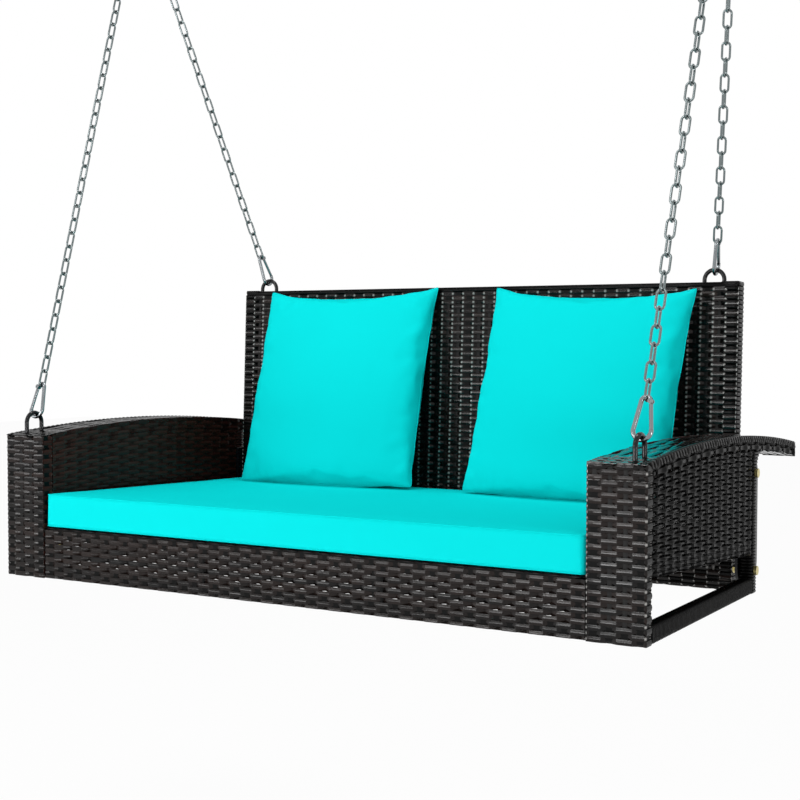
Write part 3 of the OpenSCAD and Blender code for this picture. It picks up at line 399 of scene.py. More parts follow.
def strip_material(name, dark, brown, rough, shine, highlight=0.0, sharp=8.0):
    """Colour from each strip's own number, kept in the second value of its UV map. The first
    value counts cells from stake to stake."""
    material, shader, _ = new_material(name)
    tree = material.node_tree
    uv = Field(tree, tree.nodes.new("ShaderNodeUVMap").outputs[0])
    along = uv.node("ShaderNodeSeparateXYZ", {}, {0: uv})
    lane = Field(tree, along.socket.node.outputs[1])
    number = lane.maths("FLOOR")
    shade = number.node("ShaderNodeTexWhiteNoise", {"noise_dimensions": "1D"}, {"W": number})
    patch = flat_noise(along, number, PATCH_SCALE, 3.0)
    ribs = flat_noise(along, lane, RIB_SCALE, 2.0)
    stake = number.maths("GREATER_THAN", STAKE_NUMBERS - 0.5)
    # stakes take the darkest tone: painted shade in the gaps where they show
    tone = (shade * 0.5 + patch * 0.9 - 0.45 - stake).clamp()
    colour = tone.mix(dark, brown)
    # a pale painted highlight on the ridges where the strips bend, or all along them
    if highlight:
        colour = (painted_bend_highlight(along, lane, sharp) * highlight).mix(colour, PAINTED_HIGHLIGHT)
    roughness = ribs * 0.14 + (shade * 0.06 + rough) + stake * STAKE_DULL
    feed(shader, Base_Color=colour, Roughness=roughness, Specular_IOR_Level=shine)
    feed(shader, Normal=bump(ribs, 0.15, 0.0003))
    return material


STRIP = strip_material("woven_strip", DARK_STRIP, BROWN_STRIP, 0.04, 0.22)
# the back's strip carries the painted highlight at its bends
STRIP_BEND_HIGHLIGHT = strip_material("woven_strip_bend_highlight", DARK_STRIP, BROWN_STRIP, 0.04, 0.20, highlight=0.9)
# for the posts' corners: a painted highlight all along the ridge
STRIP_CORNER_HIGHLIGHT = strip_material(
    "woven_strip_corner_highlight", DARK_STRIP, BROWN_STRIP, 0.04, 0.20, highlight=0.9, sharp=0.0)
STRIP_BLACK = strip_material(
    "woven_strip_black", (0.0035, 0.0035, 0.0035), (0.0080, 0.0075, 0.0070), 0.16, 0.07)
STRIP_WARM = strip_material(
    "woven_strip_warm", (0.0265, 0.0068, 0.0052), (0.066, 0.0182, 0.0125), 0.25, 0.10)
print("strip materials ready")

# %% [markdown]
# ### One strip
# A weave is the same two moves over and over: a strip goes over one stake, behind the next,
# and its neighbour does the opposite. A bump map could fake that on a flat board, but its
# edges and gaps wouldn't catch light as they should. So the strips are real meshes. A kind
# of weave says how wide they are, how far apart its stakes stand and how far a strip lifts.

# %% Kinds of weave, and one strip of them
Weave = namedtuple("Weave", "lane stake lift thick stake_width stake_thick steps dives")
# steps are the places of a strip's points from stake to stake, as shares of that distance
FLAT = Weave(
    lane=0.0085, stake=0.0225, lift=0.0026, thick=0.0008,
    stake_width=0.0140, stake_thick=0.0008, steps=(0.0, 0.5), dives=True)
WRAP = Weave(
    lane=0.0056, stake=0.0080, lift=0.0, thick=0.0013,
    stake_width=0.0, stake_thick=0.0, steps=(0.0,), dives=False)
# how far a dive or a hump reaches from its stake, as a share of the stakes' distance
DIVE_REACH = 0.5
HUMP_REACH = 0.42
# across a strip, in widths, and out of it, in half thicknesses: a low ridge with rolled edges
PROFILE = ((-0.5, 0.0), (-0.16, 0.84), (0.0, 1.0), (0.16, 0.84), (0.5, 0.0), (0.0, -1.0))
STRIP_SPAN = 0.96  # how much of its number's unit a strip's width takes in the UV map


def wave(run, pitch, row, dives):
    """Lift of a strip at a distance along it: +1 over a stake, -1 behind the next. A flat strip
    stays out and only dives behind its stakes, a round one stays in and swells over its stakes."""
    turns = run / pitch - 0.5 + row % 2
    if dives:
        from_dive = abs(turns % 2.0 - 1.0)
        return min(1.0, 2.0 * from_dive / DIVE_REACH - 1.0)
    from_hump = abs((turns + 1.0) % 2.0 - 1.0)
    return math.cos(math.pi * min(1.0, from_hump / HUMP_REACH))


def lay_band(bm, number, runs, cell, width, thick, to_sheet, height):
    """One strip of six sides, which keeps the cell and its own number for the material."""
    run_of = bm.verts.layers.float["run"]
    tone_of = bm.verts.layers.float["tone"]
    rings = []
    for run in runs:
        rings.append([])
        for across, out in PROFILE:
            v = bm.verts.new(to_sheet @ Vector((run, width * across, height(run) + thick * out)))
            v[run_of] = run / cell
            v[tone_of] = number + 0.5 + STRIP_SPAN * across
            rings[-1].append(v)
    for one, two in zip(rings, rings[1:]):
        for k in range(len(PROFILE)):
            bm.faces.new((one[k], one[k - 1], two[k - 1], two[k]))
    bm.faces.new(rings[0])
    bm.faces.new(reversed(rings[-1]))


print("a strip's section has", len(PROFILE), "points")

# %% [markdown]
# ### A woven sheet
# All weaves here are bent sheets: on a panel, round a post, along an arch. So one function
# weaves in the flat, where a strip is only a wave, and then carries every point to its place.
# Modifiers could bend it too, but a formula puts each strip exactly where the solids say.

# %% Weave a sheet
LANE_OVERLAP = 1.03  # strips are this much wider than their lanes, so that no gap shows
STAKE_DROP = 0.4  # how far flat stakes lie behind the middle, as a share of the lift
CORNER_HALF = 0.0030  # half the width of the flat that a strip forms at a sharp corner


def strip_runs(length, stakes, kind, corners):
    """Where along them the strips have points: at the kind's steps, and twice at each corner."""
    stake = length / stakes
    runs = [(cell + share) * stake for cell in range(stakes) for share in kind.steps] + [length]
    runs = [run for run in runs if all(abs(run - corner) > CORNER_HALF for corner in corners)]
    return sorted(runs + [corner + turn * CORNER_HALF for corner in corners for turn in (-1, 1)])


def lay_stakes(bm, first, stakes, stake, breadth, steps, kind):
    """The stakes, which cross the strips from edge to edge, in a few steps."""
    runs = [breadth * step / steps for step in range(steps + 1)]
    height = -(kind.lift + kind.thick) - (STAKE_DROP * kind.lift if kind.dives else 0.0)
    crosswise = Matrix.Rotation(math.pi / 2, 4, "Z")
    for number in range(stakes):
        to_sheet = Matrix.Translation(((number + 0.5) * stake, 0, height)) @ crosswise
        lay_band(
            bm, first + number, runs, breadth * 2, kind.stake_width, kind.stake_thick,
            to_sheet, lambda run: 0.0)


def carry(bm, place, smooth):
    """Writes the UV map, then carries each point (along, across, out) to its place."""
    run_of = bm.verts.layers.float["run"]
    tone_of = bm.verts.layers.float["tone"]
    uv = bm.loops.layers.uv.new("UVMap")
    for face in bm.faces:
        face.smooth = smooth
        for loop in face.loops:
            loop[uv].uv = (loop.vert[run_of], loop.vert[tone_of])
    for v in bm.verts:
        v.co = place(v.co.x, v.co.y, v.co.z)
    bmesh.ops.recalc_face_normals(bm, faces=bm.faces[:])


def weave(bm, length, breadth, place, kind, first=0, stake_steps=1, corners=()):
    """Adds a woven sheet to a bmesh. Out is zero where the weave stands out most, and less
    below. The number of the first strip only picks the shades. The strips get two more points
    at each corner along them."""
    lanes = max(1, round(breadth / kind.lane))
    stakes = max(1, round(length / kind.stake))
    lane, stake = breadth / lanes, length / stakes
    runs = strip_runs(length, stakes, kind, corners)
    flat = bmesh.new()
    flat.verts.layers.float.new("run")
    flat.verts.layers.float.new("tone")
    for row in range(lanes):
        to_sheet = Matrix.Translation((0, (row + 0.5) * lane, -(kind.lift + kind.thick)))
        lay_band(
            flat, first + row, runs, stake, lane * LANE_OVERLAP, kind.thick,
            to_sheet, lambda run: kind.lift * wave(run, stake, row, kind.dives))
    if kind.stake_width:
        lay_stakes(flat, first + STAKE_NUMBERS, stakes, stake, breadth, stake_steps, kind)
    carry(flat, place, smooth=not kind.dives)
    sheet = to_mesh(flat, "sheet")
    bm.from_mesh(sheet)
    bpy.data.meshes.remove(sheet)


def finish_piece(name, bm, material, node, body="swing"):
    """Makes an object of the faces, which stands in for its plain node."""
    mesh = to_mesh(bm, name)
    mesh.materials.append(material)
    piece = bpy.data.objects.new(name, mesh)
    scene.collection.objects.link(piece)
    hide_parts(node)
    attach(piece, body)
    print(f"{name}: {sum(len(f.vertices) - 2 for f in mesh.polygons)} triangles")
    return piece


def woven_piece(name, material, node, *sheets):
    """Weaves a piece out of sheets, each given as what weave takes after the bmesh."""
    bm = bmesh.new()
    for sheet in sheets:
        weave(bm, *sheet)
    return finish_piece(name, bm, material, node)


print("weaving tools ready")

# %% [markdown]
# ### Measures
# The plain woven nodes are shells in the right place, so most measures come from their boxes.
# The seat's own zero is midway between the arms, at the front of the posts and the underside
# of the bottom rails. What a box can't tell, such as the arch of the arm top, is named here.

# %% Measures of the arms
SEAT_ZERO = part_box("right_post_weave")[0]
SHIFT = Vector((0.0, SEAT_ZERO[1], SEAT_ZERO[2]))  # from the seat's own zero to the part's


def from_zero(node, corner, axis):
    """Where the lowest (0) or highest (1) corner of a node's box lies along an axis, rounded
    to a thousandth of a millimetre, so that every run gives the same strips."""
    return round(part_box(node)[corner][axis] - SHIFT[axis], 6)


ARM_IN = from_zero("right_post_weave", 0, 0)
ARM_OUT = from_zero("right_post_weave", 1, 0)
ARM_WIDE = ARM_OUT - ARM_IN
MEMBER = from_zero("right_post_weave", 1, 1)  # depth of a woven tube
ARM_DEPTH = from_zero("right_top_weave", 1, 1)
INNER_END = from_zero("right_inner_weave", 1, 1)
ARM_TAPER = MEMBER / INNER_END  # the inner edge runs outward toward the back
UPRIGHT_Y = 0.540  # rear face of the upright
POST_H = 0.264
ARM_RISE = 0.017  # the arch's crown over the post's top
CROWN_Y = 0.332
ARC_R = (CROWN_Y ** 2 + ARM_RISE ** 2) / (2 * ARM_RISE)
ARC_Z = POST_H + ARM_RISE - ARC_R


def arch(y, under=0.0):
    """Height of the arm top at a depth, or of a surface under it."""
    return ARC_Z + math.sqrt((ARC_R - under) ** 2 - (y - CROWN_Y) ** 2)


def inner_x(y):
    """The arm's inner edge at a depth."""
    return ARM_IN + y * ARM_TAPER


print("arch radius", round(ARC_R, 3), "arm", round(ARM_WIDE, 4), "x", ARM_DEPTH)

# %% [markdown]
# ### The back
# The front of the back is one sheet of horizontal strips from edge to edge. It leans, so its
# points are given out of its front face and up its slope, and turned once. Its strips carry a
# pale painted highlight where they bend, which draws the small dashes of light.

# %% Back panel
BACK_HALF = from_zero("back_weave", 1, 0)
BACK_H = 0.5705
BACK_FOOT = Vector((0.0, 0.630, -0.018))
RECLINE = math.radians(2.44)
RIM_LIP = 0.010  # how far the top strips come down over the panel
PANEL = FLAT._replace(lane=0.00877, stake=0.0237)


def on_back(x, out, up):
    """A point in the back's own frame: out of its front face and up its slope."""
    turned = Matrix.Rotation(-RECLINE, 3, "X") @ Vector((x, -out, up))
    return turned + BACK_FOOT + SHIFT


def back_front(along, across, out):
    return on_back(along - BACK_HALF, out, across)


panel = (2 * BACK_HALF, BACK_H - RIM_LIP, back_front, PANEL)
woven_piece("back_panel", STRIP_BEND_HIGHLIGHT, "back_weave", panel)

# %% [markdown]
# ### Strip wound round a tube
# The back's four outer tubes are wrapped: strip runs round the two uprights, and along the
# level ones, where it laps over the panel. Wound round a square corner, strip would show a
# knife edge. So the walk round a tube tilts its normal and cuts each corner a little.

# %% Back rim
CORNER_R = 0.004  # from here to a tube's edge, a strip turns the corner
CORNER_CUT = 0.3  # how far it cuts the corner, as a share of that
BACK_RIM, BACK_D = 0.034, 0.034
RIM_WAY = 2 * (BACK_RIM + BACK_D)
RIM_INSET = 0.003  # how far inside the uprights' strips the level tubes' strips end
RIM_GAP = 0.001  # between them and the back's upper and lower end
RIM_STRIP = WRAP._replace(lane=0.0085, stake=0.0085)
LEVEL_STRIP = RIM_STRIP._replace(stake=0.1)


def ring(share, wide, deep):
    """Walks round a rectangle that starts at its corner (0, 0): returns the point and the
    outward normal after a share of the way, first along the width."""
    lengths = (wide, deep, wide, deep)
    corners = ((0.0, 0.0), (wide, 0.0), (wide, deep), (0.0, deep))
    ways = ((1.0, 0.0), (0.0, 1.0), (-1.0, 0.0), (0.0, -1.0))
    left = (share % 1.0) * sum(lengths)
    for length, corner, way in zip(lengths, corners, ways):
        if left <= length:
            break
        left -= length
    square = Vector((way[1], -way[0]))
    normal = square.copy()
    point = Vector(corner) + Vector(way) * left
    for gap, turn in ((left, -1.0), (length - left, 1.0)):
        if gap < CORNER_R:
            near = 1.0 - gap / CORNER_R
            normal = normal + Vector(way) * (turn * near)
            point -= square * (CORNER_R * CORNER_CUT * near * near)
    return point, normal.normalized()


def rim_side(side):
    """Wraps round an upright tube of the back: along goes round it, across goes up."""
    def place(along, across, out):
        point, normal = ring(along / RIM_WAY, BACK_RIM, BACK_D)
        x, y = point + normal * out
        return on_back(side * (BACK_HALF - BACK_RIM + x), -y, across)
    return place


def rim_level(low, start):
    """Along a level tube of the back: across goes round it, from a height on its front face."""
    def place(along, across, out):
        point, normal = ring((start + across) / RIM_WAY, BACK_RIM, BACK_D)
        up, y = point + normal * out
        return on_back(along - BACK_HALF + RIM_INSET, -y, low + up)
    return place


level = 2 * BACK_HALF - 2 * RIM_INSET
top, start = BACK_H - BACK_RIM - RIM_GAP, BACK_RIM - RIM_LIP
woven_piece(
    "back_rim", STRIP_BLACK, "back_edge_weave",
    (RIM_WAY, BACK_H, rim_side(-1), RIM_STRIP, 110),
    (RIM_WAY, BACK_H, rim_side(1), RIM_STRIP, 290),
    (level, RIM_WAY, rim_level(RIM_GAP, 0.0), LEVEL_STRIP, 400),
    (level, RIM_WAY - start, rim_level(top, start), LEVEL_STRIP, 400),
)

# %% [markdown]
# ### The apron
# The apron is one sheet folded twice: its strips cover the front, pass under the rail at its
# foot and come up behind it.

# %% Apron
APRON_HALF = from_zero("apron_weave", 1, 0)
APRON_H = 0.0898
APRON_Y = 0.002


def apron_place(along, across, out):
    """Down the front of the apron, then under it and up behind its rail."""
    x = along - APRON_HALF
    down = across - APRON_H
    if down < 0:
        return Vector((x, APRON_Y - out, APRON_H - across)) + SHIFT
    if down < MEMBER:
        return Vector((x, APRON_Y + down, -out)) + SHIFT
    return Vector((x, APRON_Y + MEMBER + out, down - MEMBER)) + SHIFT


sheet = (2 * APRON_HALF, APRON_H + 2 * MEMBER, apron_place, FLAT, 600)
woven_piece("apron", STRIP, "apron_weave", sheet)

# %% [markdown]
# ### The seat deck
# The deck hangs between the seat rails, is tilted back with them and is only seen from
# below, so a coarser weave does.

# %% Deck
SEAT_TILT = math.radians(1.6)
DECK_Z = 0.097
DECK_DEPTH = 0.622
DECK_SINK = 0.0010  # how far the weave's top lies under the deck's
COARSE = FLAT._replace(lane=0.0115, stake=0.0320, lift=0.0016, stake_width=0.0200)


def on_seat(x, y, z):
    """A point in the seat deck's own frame."""
    turned = Matrix.Rotation(-SEAT_TILT, 3, "X") @ Vector((x, y, z))
    return turned + Vector((0, 0, DECK_Z)) + SHIFT


def deck_place(along, across, out):
    return on_seat(along - APRON_HALF, APRON_Y + across, out - DECK_SINK)


sheet = (2 * APRON_HALF, DECK_DEPTH, deck_place, COARSE, 700)
woven_piece("deck", STRIP, "deck_weave", sheet)

# %% [markdown]
# ### The posts
# An arm is five pieces, each made of flat sheets. All are written for the right arm and
# mirrored for the left. The post comes first: its strips run round it as rings and fold at
# its corners, which carry a pale painted highlight. Its sides are in shade, which is painted:
# black on the outside and warm on the inside, so a face gets its material by the way it looks.

# %% Posts
SIDES = {-1: "left", 1: "right"}
POST_GAP = 0.001  # the rings end this far under the post's top
POST_WAY = 2 * (ARM_OUT - ARM_IN + MEMBER)
POST_CORNERS = (ARM_WIDE, ARM_WIDE + MEMBER, 2 * ARM_WIDE + MEMBER)
POST_KIND = FLAT._replace(stake=POST_WAY / 10)
# share of a face's normal to the side that tells a corner face, and a side face
CORNER_TURN, SIDE_TURN = 0.45, 0.90


def on_arm(side, place):
    """Carries a place on the right arm to the arm of a side, in the part's frame."""
    def carried(along, across, out):
        x, y, z = place(along, across, out)
        return Vector((side * x, y, z)) + SHIFT
    return carried


def arm_piece(side, part, material, *sheets):
    """Weaves a piece of an arm out of sheets whose places are written for the right arm."""
    name = f"{SIDES[side]}_{part}"
    sheets = [(long, wide, on_arm(side, place), *rest) for long, wide, place, *rest in sheets]
    return woven_piece(name, material, name + "_weave", *sheets)


def post_place(along, across, out):
    """Round the post: along goes round it from the inner front corner, across goes up."""
    (x, y), (nx, ny) = ring(along / POST_WAY, ARM_WIDE, MEMBER)
    return ARM_IN + x + nx * out, y + ny * out, across


def dress_turns(piece, side):
    """Gives the corners a material with a painted highlight, and the outer and inner side faces darker
    materials as painted shade.
    """
    for material in (STRIP_CORNER_HIGHLIGHT, STRIP_BLACK, STRIP_WARM):
        piece.data.materials.append(material)
    for face in piece.data.polygons:
        outward = face.normal.x * side
        turned = abs(outward)
        face.material_index = (turned > CORNER_TURN) + (turned > SIDE_TURN) + (outward < -SIDE_TURN)


for side in SIDES:
    rings = (POST_WAY, POST_H - POST_GAP, post_place, POST_KIND, 900 + 50 * side, 1, POST_CORNERS)
    dress_turns(arm_piece(side, "post", STRIP, rings), side)

# %% [markdown]
# ### The arm tops
# Long strips run along the arched top, which narrows toward the back, and along its
# underside. At the front a short sheet lies across them. The left top lies in deeper shade
# and gets the black strip.

# %% Arm tops
LONG = FLAT._replace(lane=0.0115, stake=0.0640, lift=0.0012, stake_width=0.0040)
NOSE_DEPTH = 0.055
NOSE_PROUD = 0.0006  # how far the cross sheet lies over the long strips
NOSE_GAP = 0.002  # how much narrower it is than the arm


def top_place(along, across, out):
    """Along the arm, on its top; the strips narrow with the arm."""
    x = inner_x(along) + across / ARM_WIDE * (ARM_OUT - inner_x(along))
    return x, along, arch(along) + out


def underside_place(along, across, out):
    """The same under the arm top."""
    x, y, _ = top_place(along, across, out)
    return x, y, arch(along, MEMBER) - out


def nose_place(along, across, out):
    """Across the front of the arm top: along goes from the inner edge to the outer one."""
    return inner_x(across) + along, across, arch(across) + out + NOSE_PROUD


for side, strip in ((-1, STRIP_BLACK), (1, STRIP)):
    first = 1000 + 50 * side
    arm_piece(
        side, "top", strip,
        (ARM_DEPTH, ARM_WIDE, top_place, LONG, first, 4),
        (ARM_DEPTH, ARM_WIDE, underside_place, LONG, first + 20, 4),
        (ARM_WIDE - NOSE_GAP, NOSE_DEPTH, nose_place, FLAT, first + 100, 4),
    )

# %% [markdown]
# ### The outer sides
# The side's rows fan out between the sloping rail and the arch, so each row is a share of
# the height there. This strip is rounder and swells over its stakes in humps. Short slanted
# turns bind the arm top's outer edge.

# %% Outer sides
SIDE_PROUD = 0.0025  # how far the humps of the sides stand out over the posts
SIDE_BREADTH = 0.165  # a side's height in the flat
SIDE_LENGTH = UPRIGHT_Y - MEMBER - MEMBER
LOW_FRONT, LOW_REAR = 0.097, 0.068  # height of the side's lower edge at its two ends
ROPE_HALF = 0.010  # how far the slanted turns reach over each side of the edge
ROPE_SLANT = 0.9
ROPE_PROUD = 0.0010
ROPE_LENGTH = ARM_DEPTH - 2 * ROPE_HALF * ROPE_SLANT
ROUND = Weave(
    lane=0.0080, stake=0.0330, lift=0.0024, thick=0.0014, stake_width=0.0060,
    stake_thick=0.0008, steps=(0.0, 0.2, 0.35, 0.5, 0.65, 0.8), dives=False)
SLAB = ROUND._replace(lane=0.0130, lift=0.0022)
ROPE = WRAP._replace(lane=0.0120, stake=0.0050, thick=0.0011)


def low_edge(y):
    """Lower edge of the woven sides."""
    return LOW_FRONT - (y - MEMBER) * (LOW_FRONT - LOW_REAR) / (UPRIGHT_Y - MEMBER)


def outer_surface(y):
    """The outer side's place across at a depth, and the way it looks. The depth is not used."""
    return ARM_OUT + SIDE_PROUD, 1.0


def side_place(surface):
    """Rows that fan between the sloping lower edge and the arch, from the post backward."""
    def place(along, across, out):
        y = MEMBER + along
        x, outward = surface(y)
        low, high = low_edge(y), arch(y, MEMBER)
        return x + outward * out, y, low + (high - low) * across / SIDE_BREADTH
    return place


def under_place(surface):
    """The strip that covers the sloping rail from below."""
    def place(along, across, out):
        y = MEMBER + along
        x, outward = surface(y)
        return x - outward * across, y, low_edge(y) - out
    return place


def edge_place(surface):
    """Along the upright edges of the arm top, behind the post."""
    def place(along, across, out):
        y = MEMBER + along
        x, outward = surface(y)
        return x + outward * out, y, arch(y, across)
    return place


def tip_place(along, across, out):
    """Over the rear end of the arm top."""
    return inner_x(ARM_DEPTH) + along, ARM_DEPTH + out, arch(ARM_DEPTH, across)


def rope_place(along, across, out):
    """Short slanted turns over the outer top edge of the arm."""
    over = along - ROPE_HALF
    y = across + along * ROPE_SLANT
    if over < 0:
        return ARM_OUT + over, y, arch(y) + out + ROPE_PROUD
    return ARM_OUT + out + ROPE_PROUD, y, arch(y, over)


for side in SIDES:
    arm_piece(
        side, "side", STRIP_BLACK,
        (SIDE_LENGTH, SIDE_BREADTH, side_place(outer_surface), ROUND, 1500 + 50 * side, 2),
        (SIDE_LENGTH, MEMBER, under_place(outer_surface), LONG, 1600),
        (ARM_DEPTH - MEMBER, MEMBER, edge_place(outer_surface), SLAB, 1050, 2),
        (ARM_OUT - inner_x(ARM_DEPTH), MEMBER, tip_place, SLAB, 1070, 2),
        (2 * ROPE_HALF, ROPE_LENGTH, rope_place, ROPE, 1200),
    )

# %% [markdown]
# ### The inner sides
# The inner side is woven like the outer one, but flat, and follows the slanted inner edge of
# the arm to the back. A small flap closes it above the bracket.

# %% Inner sides
INNER = FLAT._replace(lane=0.0080, stake=0.0320, lift=0.0018, stake_width=0.0200)
INNER_LENGTH = INNER_END - MEMBER
FLAP_LOW = 0.2015
FLAP_LENGTH = 0.0320
FLAP_LAP = 0.003  # how far the flap starts before the side's end


def inner_surface(y):
    """The inner side's place across at a depth, and the way it looks."""
    return inner_x(y), -1.0


def flap_place(along, across, out):
    """Closes the inner side above the bracket, up to the back."""
    y = INNER_END - FLAP_LAP + along
    return inner_x(y) - out, y, FLAP_LOW + across


for side in SIDES:
    arm_piece(
        side, "inner", STRIP_WARM,
        (INNER_LENGTH, SIDE_BREADTH, side_place(inner_surface), INNER, 1700 + 50 * side, 2),
        (ARM_DEPTH - MEMBER, MEMBER, edge_place(inner_surface), INNER, 1060, 2),
        (INNER_LENGTH, MEMBER, under_place(inner_surface), LONG, 1800),
        (FLAP_LENGTH, arch(INNER_END, MEMBER) - FLAP_LOW, flap_place, WRAP, 1850),
    )

# %% [markdown]
# ### Bottom rails and rear uprights
# Finer strip is wound round these two tubes, turn beside turn. A fillet widens the upright
# under the arm top, so the way round it grows with the height.

# %% Rails and uprights
NOTCH_R = 0.028  # radius of the fillet
NOTCH_Z = arch(UPRIGHT_Y + NOTCH_R, MEMBER) - NOTCH_R
TUBE_WAY = 4 * MEMBER


def rail_place(along, across, out):
    """Round the bottom rail, which runs back from the post."""
    (x, z), (nx, nz) = ring(along / TUBE_WAY, MEMBER, MEMBER)
    return ARM_OUT - MEMBER + x + nx * out, MEMBER + across, z + nz * out


def upright_place(along, across, out):
    """Round the rear upright and its fillet."""
    rise = min(max(across - NOTCH_Z, 0.0), NOTCH_R)
    flare = NOTCH_R - math.sqrt(NOTCH_R ** 2 - rise ** 2)
    (x, y), (nx, ny) = ring(along / TUBE_WAY, MEMBER, MEMBER + flare)
    return ARM_OUT - MEMBER + x + nx * out, UPRIGHT_Y - MEMBER + y + ny * out, across


for side in SIDES:
    arm_piece(
        side, "rail", STRIP_BLACK,
        (TUBE_WAY, UPRIGHT_Y - 2 * MEMBER, rail_place, WRAP, 1900),
        (TUBE_WAY, arch(UPRIGHT_Y, MEMBER), upright_place, WRAP, 2100),
    )

# %% [markdown]
# ## Cushions
# The cloth is a plain, matt polyester in turquoise: nearly no shine, a fine thread, and
# slack folds as a soft bump, because they are too shallow for the mesh.

# %% Cloth material


def cloth_material(name, colour):
    """Matt cloth with a slightly cloudy colour."""
    material, shader, place = new_material(name)
    cloud = noise(place, 9.0, 3.0)
    thread = noise(place, 1500.0, 1.0)
    folds = noise(place, 7.0, stretch=(1.0, 3.0, 2.0))
    feed(shader, Base_Color=cloud.mix(tuple(c * 0.975 for c in colour), colour))
    feed(shader, Roughness=0.95, Specular_IOR_Level=0.0)
    feed(shader, Normal=bump(thread * 0.15 + folds, 0.35, 0.004))
    return material


CLOTH = cloth_material("turquoise_cloth", (0.0040, 0.815, 0.820))
print("cloth:", CLOTH.name)

# %% [markdown]
# ### Filling a cushion
# Each cushion is sewn, then filled. A function cuts its panels as one closed form, and
# Blender's cloth blows it up until the fabric is tight. A formula is faster, but looks like a
# pebble: cloth under pressure pulls in between its corners by itself. The result goes back
# into the mesh.

# %% Blow a form up, and fit it to a box
CLOTH_RULES = {
    "quality": 6,
    "mass": 0.25,
    "tension_stiffness": 30.0,
    "compression_stiffness": 30.0,
    "shear_stiffness": 12.0,
    "bending_stiffness": 0.4,
    "use_pressure": True,
}


def swell(mesh, pressure, frames, cap, spare):
    """Fills a closed form by Blender's cloth. Its points move by at most the cap, and spare cloth,
    as a share of its size, makes it pucker."""
    form = bpy.data.objects.new("swell", mesh)
    scene.collection.objects.link(form)
    rules = form.modifiers.new("cloth", "CLOTH").settings
    for rule, value in CLOTH_RULES.items():
        setattr(rules, rule, value)
    rules.uniform_pressure_force = pressure
    rules.effector_weights.gravity = 0.0
    rules.shrink_min = -spare
    for number in range(1, frames + 1):
        scene.frame_set(number)
    filled = form.evaluated_get(bpy.context.evaluated_depsgraph_get())
    ends = [v.co.copy() for v in filled.data.vertices]
    form.modifiers.clear()
    for v, end in zip(mesh.vertices, ends):
        move = end - v.co
        if move.length > 0.0:
            v.co += move * (cap * math.tanh(move.length / cap) / move.length)
    scene.frame_set(1)
    bpy.data.objects.remove(form)


def fit(mesh, low, high):
    """Stretches a mesh to fill a box."""
    for axis in range(3):
        values = [v.co[axis] for v in mesh.vertices]
        least, most = min(values), max(values)
        for v in mesh.vertices:
            v.co[axis] = low[axis] + (v.co[axis] - least) * (high[axis] - low[axis]) / (most - least)


print("filling tools ready")

# %% [markdown]
# ### Seams
# A thin welt follows the edge where two panels meet. It is a tube along the seam's points,
# and those edges keep a crease when the form is rounded.

# %% Sew the seams
WELT_SIDES = 6
SEAM_CREASE = 0.7


def grid_rim(across, up):
    """The keys round the rim of a grid, in order."""
    rim = [(i, 0) for i in range(across)] + [(across, j) for j in range(up)]
    return rim + [(across - i, up) for i in range(across)] + [(0, up - j) for j in range(up)]


def grid_face(bm, grid, i, j, order):
    """One face of a grid of points, turned over if the order is -1."""
    corners = [grid[i, j], grid[i + 1, j], grid[i + 1, j + 1], grid[i, j + 1]]
    bm.faces.new(corners[::order])


def welt(bm, points, r):
    """A thin closed tube along a loop of points, as the ridge of a seam."""
    rings = []
    middle = sum(points, Vector()) / len(points)
    turns = [2 * math.pi * k / WELT_SIDES for k in range(WELT_SIDES)]
    for before, point, after in zip(points[-1:] + points[:-1], points, points[1:] + points[:1]):
        along = (after - before).normalized()
        side = along.cross(point - middle).normalized()
        up = along.cross(side)
        rings.append([bm.verts.new(point + (side * math.cos(t) + up * math.sin(t)) * r) for t in turns])
    for one, two in zip(rings, rings[1:] + rings[:1]):
        for k in range(WELT_SIDES):
            bm.faces.new((one[k - 1], one[k], two[k], two[k - 1]))


def finish_cushion(name, mesh, seams, seam_r, body, node):
    """Adds the seams to a filled form and lets the cushion stand in for its plain solid."""
    bm = bmesh.new()
    bm.from_mesh(mesh)
    bm.verts.ensure_lookup_table()
    crease = bm.edges.layers.float.new("crease_edge")
    for loop in seams:
        points = [bm.verts[number] for number in loop]
        for one, two in zip(points, points[1:] + points[:1]):
            bm.edges.get((one, two))[crease] = SEAM_CREASE
        welt(bm, [v.co.copy() for v in points], seam_r)
        bm.verts.ensure_lookup_table()
    for face in bm.faces:
        face.smooth = True
    bmesh.ops.recalc_face_normals(bm, faces=bm.faces[:])
    piece = finish_piece(name, bm, CLOTH, node, body)
    rounding = piece.modifiers.new("rounding", "SUBSURF")
    rounding.levels = rounding.render_levels = 1


print("seam tools ready")

# %% [markdown]
# ### The seat cushion
# Two panels with rounded corners and a band between them, which keeps its edge upright. It
# lies on the tilted deck, so its underside stays flat.

# %% Seat cushion
PAD_LOW = Vector((-0.5390, 0.0025, 0.0010))  # in the deck's frame
PAD_HIGH = Vector((0.5390, 0.6190, 0.0620))
PAD_EDGE = 0.0560  # height of its edge
PAD_CORNER = 0.009
PAD_CELL = 0.0105
PAD_BAND = 5  # rows of its band
PAD_SLACK = 0.006  # how much smaller it is cut than its place
PAD_SEAM = 0.0010


def pad_plan(a, b, wide, deep):
    """A point of the panel from shares of its width and depth, with the corners rounded."""
    x, y = (a - 0.5) * wide, (b - 0.5) * deep
    over_x = (abs(x) - wide / 2) / PAD_CORNER + 1
    over_y = (abs(y) - deep / 2) / PAD_CORNER + 1
    if over_x > 0 and over_y > 0:
        x = math.copysign(wide / 2 - PAD_CORNER * (1 - over_x * math.sqrt(1 - over_y ** 2 / 2)), x)
        y = math.copysign(deep / 2 - PAD_CORNER * (1 - over_y * math.sqrt(1 - over_x ** 2 / 2)), y)
    return x, y


